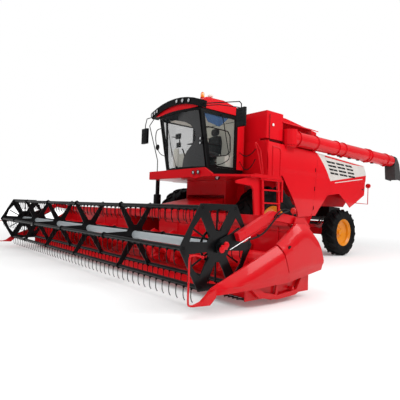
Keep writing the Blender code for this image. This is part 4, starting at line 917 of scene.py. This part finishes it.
def cushion(name, low, high, crown, seams):
    """A stuffed pad: a rounded block swollen over its faces, with sewn channels across it."""
    low, high = Vector(low), Vector(high)
    middle, half = (low + high) / 2, (high - low) / 2
    bm = bmesh.new()
    bmesh.ops.create_cube(bm, size=2)
    bmesh.ops.subdivide_edges(bm, edges=bm.edges[:], cuts=15, use_grid_fill=True)
    for vert in bm.verts:
        x, y, z = vert.co
        round_off = 1 - 0.10 * (x * x * y * y + y * y * z * z + x * x * z * z)
        point = Vector((x * half.x, y * half.y, z * half.z)) * round_off
        face = Vector((x, y, z))
        flat = max(range(3), key=lambda number: abs(face[number]))
        others = [number for number in range(3) if number != flat]
        falls = [max(0.0, math.cos(face[number] * math.pi / 2)) ** 0.5 for number in others]
        bulge = crown * math.prod(falls)
        point[flat] += math.copysign(bulge, face[flat])
        for seam in seams:
            groove = math.exp(-((x - seam) / 0.05) ** 2)
            point *= 1 - 0.05 * groove
        vert.co = middle + point
    hang(name, bm, cloth, "chassis", 80)


x0, x1 = seat_low.x + 0.012, seat_high.x - 0.012
cushion("seat_base", (x0, seat_low.y + 0.01, 2.525), (x1, seat_high.y - 0.09, 2.635), 0.012, (-0.62, 0.62))
cushion("seat_back", (x0 + 0.01, seat_high.y - 0.115, 2.60), (x1 - 0.01, seat_high.y - 0.015, 3.08),
        0.012, (-0.6, 0.6))
cushion("head_pad", (-0.13, seat_high.y - 0.10, 3.10), (0.13, seat_high.y - 0.02, 3.27), 0.008, ())
seat_frame = bmesh.new()
add_box(seat_frame, (-0.17, seat_low.y + 0.11, 2.182), (0.17, seat_high.y - 0.11, 2.26), 0.010)
for step in range(7):
    z = 2.27 + 0.033 * step
    add_box(seat_frame, (-0.155, seat_low.y + 0.12, z), (0.155, seat_high.y - 0.12, z + 0.018), 0.008)
add_box(seat_frame, (-0.22, seat_low.y + 0.04, 2.495), (0.22, seat_high.y - 0.10, 2.522), 0.006)
for x in (-0.06, 0.06):
    add_rod(seat_frame, [(x, seat_high.y - 0.06, 3.06), (x, seat_high.y - 0.06, 3.12)], 0.008, 8)
add_box(seat_frame, (0.262, seat_low.y + 0.02, 2.78), (0.335, seat_high.y - 0.12, 2.83), 0.012)
add_rod(seat_frame, [(0.298, seat_high.y - 0.16, 2.80), (0.298, seat_high.y - 0.12, 2.56),
                     (0.2, seat_high.y - 0.14, 2.51)], 0.014, 8)
add_rod(seat_frame, smooth([(0.30, seat_low.y + 0.07, 2.83), (0.302, seat_low.y + 0.06, 2.88),
                            (0.29, seat_low.y + 0.04, 2.93)]), 0.016, 10)
frame_piece = hang("seat_frame", seat_frame, plastic, "chassis")
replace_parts(frame_piece, "seat")

wheel = bmesh.new()
hub = Vector((0, -2.331, 2.815))
tilt = Matrix.Rotation(math.radians(12), 3, "X")
rim_points = [hub + tilt @ Vector((0.185 * math.cos(a), 0.185 * math.sin(a), 0.0))
              for a in (2 * math.pi * step / 40 for step in range(40))]
add_rod(wheel, rim_points, 0.014, 10, closed=True)
for angle in (math.radians(90), math.radians(210), math.radians(330)):
    add_rod(wheel, [hub, hub + tilt @ Vector((0.18 * math.cos(angle), 0.18 * math.sin(angle), 0))], 0.011, 8)
add_lathe(wheel, [(-0.025, AXIS), (-0.025, 0.05), (0.012, 0.045), (0.016, AXIS)], hub, 24, "Z")
add_rod(wheel, smooth([(0, -2.464, 2.19), (0, -2.43, 2.40), (0, -2.37, 2.66), (0, -2.335, 2.80)]), 0.040, 16)
add_box(wheel, (-0.12, -2.53, 2.182), (0.12, -2.34, 2.228), 0.010)
add_box(wheel, (-0.055, -2.455, 2.60), (0.055, -2.375, 2.72), 0.015)
column = hang("wheel_and_column", wheel, plastic, "chassis")
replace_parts(column, "steering_column")

fit_out = bmesh.new()
add_box(fit_out, (-0.46, -2.60, 2.93), (-0.26, -2.565, 3.06), 0.010)
add_box(fit_out, (-0.44, -2.58, 2.72), (-0.28, -2.545, 2.84), 0.010)
screen_arm = [(-0.66, -2.55, 3.02), (-0.52, -2.53, 3.0), (-0.36, -2.55, 2.98), (-0.36, -2.54, 2.78)]
add_rod(fit_out, smooth(screen_arm), 0.012, 8)
add_rod(fit_out, [(-0.70, -2.64, 2.20), (-0.70, -2.70, 3.4)], 0.028, 10)
add_box(fit_out, (-0.20, -1.60, 2.40), (0.20, -1.50, 2.44), 0.01)
add_rod(fit_out, smooth([(0.36, -2.26, 2.30), (0.42, -2.40, 2.52), (0.40, -2.44, 2.66)]), 0.016, 10)
add_rod(fit_out, smooth([(-0.34, -2.30, 2.30), (-0.30, -2.42, 2.56), (-0.34, -2.46, 2.70)]), 0.016, 10)
hang("cab_screens", fit_out, plastic, "chassis")
pale = bmesh.new()
add_box(pale, (-0.755, -2.30, 2.20), (-0.42, -1.52, 2.62), 0.03)
add_box(pale, (-0.44, -2.66, 2.24), (-0.30, -2.58, 2.68), 0.02)
add_box(pale, (-0.76, -1.515, 2.19), (0.76, -1.498, 3.40), 0.008)
add_box(pale, (-0.79, -1.72, 2.62), (-0.735, -1.50, 3.40), 0.01)
add_box(pale, (-0.72, -2.60, 3.395), (0.72, -1.55, 3.415), 0.008)
add_box(pale, (0.40, -1.98, 2.20), (0.70, -1.56, 2.52), 0.03)
hang("cab_lining", pale, glowing_lining, "chassis")
mat = bmesh.new()
for step in range(22):
    y = -2.56 + 0.047 * step
    add_box(mat, (-0.71, y, 2.1805), (0.71, y + 0.03, 2.187), 0.002)
hang("floor_mat", mat, rubber, "chassis")
shade_bm = bmesh.new()
add_plate(shade_bm, "x", [(-2.90, 3.372), (-1.98, 3.372), (-2.26, 3.13), (-2.62, 3.19)], 0.772, 0.776)
for vert in shade_bm.verts:
    vert.co.y = max(vert.co.y, -2.52 - 0.20 * (vert.co.z - 2.18))
blue_film = finish(
    "blue_sun_film",
    lambda place: {
        "Base Color": place.noise(2, 2).blend((0.035, 0.12, 0.30), (0.06, 0.17, 0.38)),
        "Roughness": place.noise(20, 2) * 0.1 + 0.35,
    },
)
hang("door_sun_film", shade_bm, blue_film, "cab_door")

# --------------------------------------------------- roof, lamps, mirrors
# Moulded roof skin with a beacon and aerial, work lamps sunk in the black
# light bar, and hinged mirrors with ribbed backs.
repaint(red, "cab_roof")
lens = finish(
    "lamp_lens",
    lambda place: {
        "Base Color": place.cells(90.0).ramp(0.0, 0.8).blend((0.75, 0.77, 0.78), (0.30, 0.32, 0.34)),
        "Roughness": place.noise(80, 2) * 0.1 + 0.06,
    },
    Coat_Weight=1.0,
    Coat_Roughness=0.02,
)
lamp_amber = finish(
    "amber_lens",
    lambda place: {
        "Base Color": place.noise(60, 2).blend((0.95, 0.32, 0.01), (0.90, 0.24, 0.01)),
        "Roughness": place.noise(80, 2) * 0.1 + 0.08,
    },
    Coat_Weight=1.0,
    Coat_Roughness=0.03,
)
lamp_rings, lamp_faces = bmesh.new(), bmesh.new()


def lamp(x, y, z, size, depth=0.03):
    """A round lamp that looks forward: bezel and domed lens."""
    bezel = [(depth, AXIS), (depth, size * 0.7), (0.0, size * 1.12), (-0.012, size * 1.12),
             (-0.012, size * 0.92), (0.004, size * 0.88), (0.006, AXIS)]
    add_lathe(lamp_rings, bezel, (x, y, z), 28, "Y")
    dome = [(0.005, AXIS), (0.005, size * 0.87), (-0.004, size * 0.80), (-0.010, size * 0.45), (-0.012, AXIS)]
    add_lathe(lamp_faces, dome, (x, y, z), 28, "Y")


BAR_FACE_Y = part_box("cab_roof")[0].y - 0.200
for x in (0.10, 0.32, 0.55, -0.70, -0.80, -0.90):
    lamp(x, BAR_FACE_Y - 0.004, 1.17 + math.sqrt(2.525**2 - x * x), 0.050)
lip = bmesh.new()
lip_line = [(-0.80 + 0.1 * step, 3.472) for step in range(17)]
lip_line += [(x, 1.175 + math.sqrt(2.45**2 - x * x)) for x, _ in lip_line[::-1]]
add_plate(lip, "y", lip_line, BAR_FACE_Y + 0.05, BAR_FACE_Y + 0.07)
hang("roof_front_lip", lip, red, "chassis")
for x in (0.62, 0.79):
    lamp(x, -2.870, 2.030, 0.040, 0.02)
lamp(1.19, -2.66, 1.92, 0.060, 0.05)
for z in (2.790, 2.690):
    lamp(0.742, -2.80, z, 0.036, 0.03)
hang("lamp_bezels", lamp_rings, plastic, "chassis")
hang("lamp_lenses", lamp_faces, lens, "chassis")
beacon = bmesh.new()
add_lathe(beacon, [(3.785, AXIS), (3.785, 0.044), (3.80, 0.046), (3.86, 0.043), (3.885, 0.036),
                   (3.897, 0.018), (3.898, AXIS)], (0.55, -2.614, 0), 24, "Z")
hang("beacon", beacon, lamp_amber, "chassis")
# The aerial dome takes the lining's finish, so it too glows faintly: painted light.
aerial = bmesh.new()
add_lathe(aerial, [(3.822, AXIS), (3.822, 0.055), (3.835, 0.064), (3.855, 0.062), (3.872, 0.04),
                   (3.878, AXIS)], (0.60, -2.414, 0), 28, "Z")
hang("aerial_dome", aerial, glowing_lining, "chassis")

mirrors, shells = bmesh.new(), bmesh.new()
for x, y, z in ((1.88, -2.700, 3.158), (-1.05, -3.114, 3.05)):
    add_box(shells, (x - 0.122, y - 0.036, z - 0.242), (x + 0.122, y + 0.030, z + 0.142), 0.028)
    add_box(mirrors, (x - 0.100, y + 0.024, z - 0.22), (x + 0.100, y + 0.0335, z + 0.12), 0.012)
    for step in range(5):
        foot = z - 0.19 + step * 0.065
        add_box(shells, (x - 0.075, y - 0.041, foot), (x + 0.075, y - 0.034, foot + 0.025), 0.003)
hang("mirror_shells", shells, plastic, "chassis")
hang("mirror_faces", mirrors, steel, "chassis")

stays = bmesh.new()
add_rod(stays, smooth([(-0.80, -2.78, 3.22), (-0.92, -2.84, 3.18), (-0.95, -2.86, 3.02), (-0.95, -2.84, 2.85),
                       (-0.94, -2.80, 2.70)]), 0.011, 8)
add_rod(stays, smooth([(-0.80, -2.62, 2.52), (-0.90, -2.72, 2.58), (-0.94, -2.80, 2.70)]), 0.009, 8)
low_mirror = [(-0.02, AXIS), (-0.02, 0.06), (0.0, 0.075), (0.01, 0.075), (0.012, AXIS)]
add_lathe(stays, low_mirror, (-0.94, -2.80, 2.75), 28, "Y")
add_rod(stays, [(0.90, -2.91, 3.47), (1.35, -2.82, 3.43), (1.86, -2.735, 3.30)], 0.009, 8)
hang("mirror_stays", stays, black, "chassis")
grab = bmesh.new()
add_rod(grab, smooth([(0.800, -2.26, 3.40), (0.850, -2.24, 3.36), (0.860, -2.16, 3.05), (0.860, -2.05, 2.66),
                      (0.860, -2.00, 2.42), (0.855, -2.16, 2.30), (0.830, -2.34, 2.235),
                      (0.800, -2.40, 2.225)]), 0.010, 8)
hang("door_bar", grab, black, "cab_door")

# Safety chains from the cab's rear corner across the platform gateway to the
# hand rail: short steel links that hang in a low curve between two eyes.
LINKS_A_CHAIN = 46
links = bmesh.new()
for start, stop, drop in (
    ((0.830, -1.60, 2.60), (1.846, -2.20, 2.52), 0.11),
    ((0.830, -1.60, 2.38), (1.846, -2.20, 2.30), 0.20),
):
    start, stop = Vector(start), Vector(stop)
    for number in range(LINKS_A_CHAIN):
        share = (number + 0.5) / LINKS_A_CHAIN
        spot = start.lerp(stop, share) - Vector((0, 0, 4 * drop * share * (1 - share)))
        slope = (stop - start) - Vector((0, 0, 4 * drop * (1 - 2 * share)))
        along = slope.normalized()
        side = along.cross(Vector((0, 0, 1))).normalized()
        wide = side if number % 2 else along.cross(side)
        ring = [spot + along * (0.019 * math.cos(a)) + wide * (0.010 * math.sin(a))
                for a in (2 * math.pi * step / 8 for step in range(8))]
        add_rod(links, ring, 0.0042, 6, closed=True)
    add_rod(links, [start - Vector((0.02, 0, 0)), start + Vector((0.004, 0, 0))], 0.010, 8)
    add_rod(links, [stop - Vector((0.004, 0, 0)), stop + Vector((0.012, 0, 0))], 0.010, 8)
hang("gate_chains", links, black, "chassis")

post = bmesh.new()
post_x, post_y = -1.195, -2.579
add_box(post, (post_x - 0.040, post_y - 0.040, 1.55), (post_x + 0.040, post_y + 0.040, 1.925), 0.008)
add_box(post, (post_x - 0.075, post_y - 0.075, 1.222), (post_x + 0.075, post_y + 0.075, 1.56), 0.02)
hang("far_post_sleeve", post, plastic, "chassis")


# ------------------------------------------------------- header and table
# Welded sheet steel trough with a folded back wall: knife guards and sections along its front lip, ribs on
# the back wall, hoses and a drive shaft to the feeder, and a marker on a rod.
def row(name, unit, count, step, start, material, body):
    """Repeats one small piece along a straight row, as one finished mesh."""
    tree = bpy.data.node_groups.new(f"{name}_row", "GeometryNodeTree")
    ports = tree.interface
    made = {"Geometry": ports.new_socket("Geometry", in_out="OUTPUT", socket_type="NodeSocketGeometry")}
    kinds = {"Unit": "Object", "Count": "Int", "Start": "Vector", "Step": "Vector", "Finish": "Material"}
    for label, kind in kinds.items():
        made[label] = ports.new_socket(label, in_out="INPUT", socket_type=f"NodeSocket{kind}")
    source, sink = tree.nodes.new("NodeGroupInput"), tree.nodes.new("NodeGroupOutput")
    line = tree.nodes.new("GeometryNodeMeshLine")
    unit_info = tree.nodes.new("GeometryNodeObjectInfo")
    spread = tree.nodes.new("GeometryNodeInstanceOnPoints")
    real = tree.nodes.new("GeometryNodeRealizeInstances")
    coat = tree.nodes.new("GeometryNodeSetMaterial")
    for out, into in (
        (source.outputs["Count"], line.inputs["Count"]),
        (source.outputs["Start"], line.inputs["Start Location"]),
        (source.outputs["Step"], line.inputs["Offset"]),
        (source.outputs["Unit"], unit_info.inputs["Object"]),
        (line.outputs["Mesh"], spread.inputs["Points"]),
        (unit_info.outputs["Geometry"], spread.inputs["Instance"]),
        (spread.outputs["Instances"], real.inputs["Geometry"]),
        (real.outputs["Geometry"], coat.inputs["Geometry"]),
        (source.outputs["Finish"], coat.inputs["Material"]),
        (coat.outputs["Geometry"], sink.inputs["Geometry"]),
    ):
        tree.links.new(out, into)
    unit_mesh = bpy.data.meshes.new(f"{name}_unit")
    bmesh.ops.recalc_face_normals(unit, faces=unit.faces)
    unit.to_mesh(unit_mesh)
    unit.free()
    unit_piece = bpy.data.objects.new(f"{name}_unit", unit_mesh)
    host = bpy.data.objects.new(f"{name}_host", bpy.data.meshes.new(f"{name}_host"))
    bpy.context.scene.collection.objects.link(unit_piece)
    bpy.context.scene.collection.objects.link(host)
    nodes_modifier = host.modifiers.new("row", "NODES")
    nodes_modifier.node_group = tree
    values = {"Unit": unit_piece, "Count": count, "Start": start, "Step": (step, 0, 0), "Finish": material}
    for label, value in values.items():
        nodes_modifier[made[label].identifier] = value
    bpy.context.view_layer.update()
    mesh = bpy.data.meshes.new_from_object(host.evaluated_get(bpy.context.evaluated_depsgraph_get()))
    mesh.name = name
    mesh.shade_smooth()
    mesh.set_sharp_from_angle(angle=math.radians(40))
    piece = bpy.data.objects.new(name, mesh)
    bpy.context.scene.collection.objects.link(piece)
    for helper in (host, unit_piece):
        bpy.data.objects.remove(helper)
    bpy.data.meshes.remove(unit_mesh)
    bpy.data.node_groups.remove(tree)
    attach(piece, body)


knife_low, knife_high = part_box("cutterbar")
guard = bmesh.new()
add_plate(guard, "z", [(-0.020, 0.0), (-0.010, -0.045), (0.0, -0.062), (0.010, -0.045), (0.020, 0.0)],
          -0.008, 0.006)
add_rod(guard, [(0, 0.012, 0.010), (0, 0.012, 0.016)], 0.007, 6)
GUARD_PITCH = 0.0762
guards = int((knife_high.x - knife_low.x - 0.08) / GUARD_PITCH)
first_x = -(guards - 1) * GUARD_PITCH / 2
row("knife_guards", guard, guards, GUARD_PITCH, (first_x, knife_low.y + 0.002, 0.103),
    black, "header")
section = bmesh.new()
add_plate(section, "z", [(-0.034, 0.0), (-0.004, -0.040), (0.004, -0.040), (0.034, 0.0)], 0.0005, 0.003)
row("knife_sections", section, guards, GUARD_PITCH, (first_x + 0.01, knife_low.y + 0.004, 0.1185),
    steel, "header")

wall = bmesh.new()
WALL_FACE_Y, MOUTH_HALF_WIDTH = -3.7135, 0.85
for x in [-3.7 + 0.617 * step for step in range(13)]:
    if abs(x) > MOUTH_HALF_WIDTH:
        add_box(wall, (x - 0.012, -3.729, 0.52), (x + 0.012, WALL_FACE_Y, 1.00), 0.003)
for sign in (1, -1):
    low, high = sorted((sign * MOUTH_HALF_WIDTH, sign * 3.88))
    add_box(wall, (low, -3.727, 0.94), (high, WALL_FACE_Y, 0.958), 0.003)
hang("back_wall_ribs", wall, red, "header")

hoses = bmesh.new()
for offset in (0.0, 0.035, 0.07):
    line = [(-0.72 - offset, -3.36, 1.10), (-0.78 - offset, -3.28, 1.22), (-0.80 - offset, -3.0, 1.30),
            (-0.76 - offset, -2.7, 1.25), (-0.73 - offset * 0.6, -2.4, 1.18)]
    add_rod(hoses, smooth(line), 0.013, 8)
hang("feeder_hoses", hoses, plastic, "header")

shaft = bmesh.new()
add_rod(shaft, [(0.735, -3.30, 0.78), (0.735, -2.20, 1.12)], 0.030, 12)
add_rod(shaft, [(0.735, -3.30, 0.78), (0.735, -3.22, 0.805)], 0.048, 14)
add_rod(shaft, [(0.735, -2.28, 1.095), (0.735, -2.20, 1.12)], 0.048, 14)
hang("feeder_drive_shaft", shaft, plastic, "header")

marker, marker_lens = bmesh.new(), bmesh.new()
stalk = [(3.86, -3.60, 1.03), (3.87, -3.60, 1.12), (3.88, -3.62, 1.165), (3.90, -3.63, 1.20)]
marker_centre = (3.90, -3.63, 1.245)
add_rod(marker, smooth(stalk), 0.008, 8)
add_lathe(marker, [(-0.004, AXIS), (-0.004, 0.045), (0.008, 0.048), (0.010, AXIS)], marker_centre, 24, "Y")
add_lathe(marker_lens, [(-0.009, AXIS), (-0.009, 0.036), (-0.004, 0.041), (-0.003, AXIS)],
          marker_centre, 24, "Y")
hang("header_marker", marker, red, "header")
hang("header_marker_lens", marker_lens, lamp_red, "header")

# ---------------------------------------------------------- crop dividers
# Twin moulded covers at each end, hinged at the back: a soft shoulder along
# the top, a swage line low down, a grip hole and a sunk quarter-turn catch.
DIVIDER_FRONT = [(-5.374, 0.235), (-5.412, 0.28), (-5.354, 0.325), (-4.204, 0.768), (-4.004, 0.274)]
DIVIDER_REAR = [(-4.194, 0.788), (-3.990, 0.274), (-3.226, 0.388), (-3.226, 0.538), (-3.344, 0.823),
                (-3.584, 1.058), (-3.784, 1.067)]
COVER_BACK, COVER_FACE = 4.0455, 4.174


def cover(name, outline, sign, shoulder, swage):
    """A cover drawn from sheet: crowned face, rounded top shoulder and a low swage."""
    bm = bmesh.new()
    add_plate(bm, "x", outline, COVER_BACK, COVER_FACE)
    for number in range(26):
        level, station = (0, 0, 0.18 + 0.035 * number), (0, -5.35 + 0.095 * number, 0)
        for place, way in ((level, (0, 0, 1)), (station, (0, 1, 0))):
            everything = bm.verts[:] + bm.edges[:] + bm.faces[:]
            bmesh.ops.bisect_plane(bm, geom=everything, plane_co=place, plane_no=way)
    for vert in bm.verts:
        if vert.co.x < (COVER_BACK + COVER_FACE) / 2:
            continue
        y, z = vert.co.y, vert.co.z
        top = shoulder(y)
        depth = max(0.0, 1 - (top - z) / 0.17)
        line = swage[0] + swage[1] * (y - swage[2])
        under = max(0.0, line - z)
        taper = max(0.0, (-4.7 - y) / 0.70)
        tuck = (0.012 if under > 0 else 0.0) + 0.25 * under
        vert.co.x -= 0.095 * depth**1.7 + tuck + 0.060 * min(taper, 1.0) ** 1.5
        vert.co.x = max(vert.co.x, COVER_BACK + 0.012)
    for vert in bm.verts:
        vert.co.x *= sign
    return hang(name, bm, red, "header", 28)


def front_top(y):
    """The height of the front cover's top edge here."""
    return 0.325 + (y + 5.354) * (0.768 - 0.325) / (5.354 - 4.204)


def rear_top(y):
    """The height of the rear cover's top edge here."""
    if y < -3.784:
        return 0.788 + (y + 4.194) * (1.067 - 0.788) / 0.41
    return 1.062 - max(0.0, y + 3.584) ** 1.25 * 0.95


for side, sign in (("left", 1), ("right", -1)):
    cover(f"divider_cover_front_{side}", DIVIDER_FRONT, sign, front_top, (0.345, 0.055, -4.5))
    rear = cover(f"divider_cover_rear_{side}", DIVIDER_REAR, sign, rear_top, (0.40, 0.12, -4.0))
    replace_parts(rear, f"divider_rear_{side}")
    nose = bmesh.new()
    add_plate(nose, "x", [(-5.654, 0.155), (-5.394, 0.140), (-5.304, 0.22), (-5.304, 0.31), (-5.394, 0.285),
                          (-5.52, 0.19)], *sorted((sign * 4.046, sign * 4.095)))
    x = sign * 4.0703
    bow = [(x, -5.61, 0.160), (x, -5.675, 0.168), (x, -5.700, 0.21), (x, -5.702, 0.45),
           (x, -5.700, 0.67), (x, -5.675, 0.712), (x, -5.60, 0.713), (x, -5.51, 0.690)]
    add_rod(nose, smooth(bow, 5), 0.0115, 10)
    add_rod(nose, [(x, -5.52, 0.692), (x, -5.50, 0.688)], 0.018, 10)
    nose_piece = hang(f"divider_nose_{side}", nose, red, "header")
    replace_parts(nose_piece, f"divider_front_{side}")
    catch = bmesh.new()
    face = sign * (COVER_FACE - 0.002)
    dimple = [(-0.006 * sign, AXIS), (-0.006 * sign, 0.032), (0.0015 * sign, 0.032), (0.0015 * sign, AXIS)]
    add_lathe(catch, dimple, (face - 0.004 * sign, -4.045, 0.745), 24)
    hang(f"divider_grip_hole_{side}", catch, plastic, "header")
    frame_bm = bmesh.new()
    catch_edge = ((-4.115, 0.665), (-4.125, 0.63), (-4.10, 0.61), (-3.98, 0.64), (-3.95, 0.67),
                  (-3.935, 0.70))
    slot_line = [(face - sign * 0.001, y, z) for y, z in catch_edge]
    add_rod(frame_bm, smooth(slot_line, 4), 0.0035, 6)
    hang(f"divider_catch_{side}", frame_bm, red, "header")
    under = bmesh.new()
    runner = [(-4.70, 0.24), (-4.56, 0.12), (-4.20, 0.060), (-3.80, 0.080), (-3.62, 0.15), (-3.58, 0.32),
              (-3.66, 0.32), (-3.78, 0.15), (-4.18, 0.12), (-4.46, 0.18), (-4.58, 0.26)]
    add_plate(under, "x", runner, *sorted((sign * 4.06, sign * 4.10)))
    post_side = [(-4.24, 0.065), (-4.20, 0.065), (-4.15, 0.28), (-4.20, 0.28)]
    add_plate(under, "x", post_side, *sorted((sign * 4.07, sign * 4.09)))
    add_rod(under, [(sign * 4.05, -3.88, 0.18), (sign * 4.12, -3.88, 0.18)], 0.022, 12)
    hang(f"divider_skid_{side}", under, red, "header")

# ------------------------------------------------------------------- reel
# Six-bat pick-up reel: a grey centre tube carrying flat spiders, a pressed
# plate at each end, and bats strung with spring tines that hang straight.
reel_low, reel_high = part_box("reel_frame")
reel_axis = (reel_low + reel_high) / 2


def reel_finish(place):
    """Black coat on the spiders and end plates, grey on the centre tube between them."""
    coat = {
        "Base Color": place.noise(2.2, 4).ramp(0.3, 0.75).blend(BLACK, BLACK_WORN),
        "Roughness": place.noise(20, 5) * 0.2 + 0.22,
        "Normal": place.noise(260, 2).bump(0.15, 0.001, 0.003),
    }
    off_y, off_z = place.axis(1) - reel_axis.y, place.axis(2) - reel_axis.z
    square = off_y * off_y + off_z * off_z
    reach = square.maths("SQRT", square)
    across = place.axis(0)
    end = across.maths("ABSOLUTE", across).ramp(3.86, 3.861)
    tube = reach.ramp(0.0635, 0.0625) * (1 - end)
    grey = place.noise(3, 4, (0.3, 1, 1)).blend((0.30, 0.33, 0.35), (0.46, 0.50, 0.52))
    coat["Base Color"] = tube.blend(coat["Base Color"], grey)
    return coat


repaint(finish("reel_coats", reel_finish, Specular_IOR_Level=0.22), "reel_frame")
BAT_CIRCLE, BATS = 0.546, 6
TINE_PITCH, TINE_DROP, TINES_A_BAT = 0.150, 0.205, 51


def reel_point(x, reach, angle):
    """A point this far out from the reel's axis, at this angle round it."""
    return Vector((x, reel_axis.y + reach * math.cos(angle), reel_axis.z + reach * math.sin(angle)))


for number in range(BATS):
    centre = reel_point(0, BAT_CIRCLE, 2 * math.pi * number / BATS)
    tine = bmesh.new()
    add_rod(tine, smooth([(0, -0.009, -0.045), (0, -0.013, -0.09), (0, -0.010, -0.15), (0, 0.002, -0.185),
                          (0, 0.018, -TINE_DROP)], 3), 0.0058, 6)
    coil = [(0.0014 * a - 0.008, -0.009 + 0.010 * math.cos(a), -0.040 + 0.010 * math.sin(a))
            for a in (math.pi * step / 3 for step in range(16))]
    add_rod(tine, coil, 0.0042, 4)
    add_box(tine, (-0.012, -0.014, -0.034), (0.012, 0.010, -0.004), 0)
    body = f"bat_{number + 1}"
    start = (-(TINES_A_BAT - 1) * TINE_PITCH / 2, centre.y, centre.z)
    row(f"tines_{number + 1}", tine, TINES_A_BAT, TINE_PITCH, start, black, body)
    bat = bmesh.new()
    add_rod(bat, [(-3.898, centre.y, centre.z), (3.898, centre.y, centre.z)], 0.0252, 16)
    shape = [(-0.004, -0.003), (-0.004, -0.036), (0.004, -0.036), (0.004, -0.003)]
    add_plate(bat, "x", [(centre.y + a, centre.z + b) for a, b in shape], -3.86, 3.86)
    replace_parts(hang(f"bat_bar_{number + 1}", bat, black, body), body)

for side, sign in (("left", 1), ("right", -1)):
    eccentric = bmesh.new()
    ring = [reel_point(3.80 * sign, 0.20, 2 * math.pi * step / 40) for step in range(40)]
    add_rod(eccentric, ring, 0.016, 8, closed=True)
    for spoke in range(BATS):
        a = 2 * math.pi * spoke / BATS
        b = a + math.pi / BATS
        add_rod(eccentric, [reel_point(3.80 * sign, 0.10, a), reel_point(3.84 * sign, 0.50, a)], 0.017, 8)
        add_rod(eccentric, [reel_point(3.86 * sign, 0.12, b), reel_point(3.86 * sign, 0.44, b)], 0.012, 8)
    hang(f"reel_end_ring_{side}", eccentric, black, "reel")

    cap = bmesh.new()
    x = sign * 3.996
    knob = [(0, AXIS), (0, 0.040), (0.018 * sign, 0.038), (0.026 * sign, 0.024), (0.027 * sign, AXIS)]
    for y, z in ((0.035, 0.028), (-0.035, -0.028)):
        add_lathe(cap, knob, (x, reel_axis.y + y, reel_axis.z + z), 20)
    add_box(cap, (min(x, x + 0.02 * sign), reel_axis.y - 0.05, reel_axis.z - 0.03),
            (max(x, x + 0.02 * sign), reel_axis.y + 0.05, reel_axis.z + 0.03), 0.008)
    hang(f"reel_hub_cap_{side}", cap, red, "reel_carriage")

    # The carriage's ram rod and the hoses clipped along the arm.
    rod_bm, tubes = bmesh.new(), bmesh.new()
    add_rod(rod_bm, [(sign * 4.005, -5.02, 0.745), (sign * 4.005, -4.66, 0.895)], 0.006, 10)
    hang(f"reel_ram_rod_{side}", rod_bm, steel, "reel_carriage")
    x = 4.022 * sign
    long_hose = [(x - 0.01 * sign, -3.90, 1.235), (x, -4.05, 1.205), (x, -4.20, 1.12), (x, -4.34, 1.00),
                 (x, -4.45, 0.93), (x, -4.58, 0.885), (x, -4.70, 0.865)]
    short_hose = [(x - 0.02 * sign, -3.86, 1.25), (x - 0.02 * sign, -3.98, 1.262),
                  (x - 0.014 * sign, -4.10, 1.225), (x - 0.01 * sign, -4.20, 1.15)]
    add_rod(tubes, smooth(long_hose), 0.011, 10)
    add_rod(tubes, smooth(short_hose), 0.009, 8)
    hang(f"reel_arm_hoses_{side}", tubes, plastic, "reel_arms")
    clips = bmesh.new()
    for y, z in ((-4.12, 1.165), (-4.52, 0.905)):
        add_box(clips, (min(x - 0.02 * sign, x + 0.004 * sign), y - 0.015, z - 0.02),
                (max(x - 0.02 * sign, x + 0.004 * sign), y + 0.015, z + 0.02), 0.004)
    hang(f"hose_clips_{side}", clips, black, "reel_arms")

# The machine's own box before and after the finishing pieces.
corners = [[list(corner) for corner in pair] for pair in (box_before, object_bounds())]
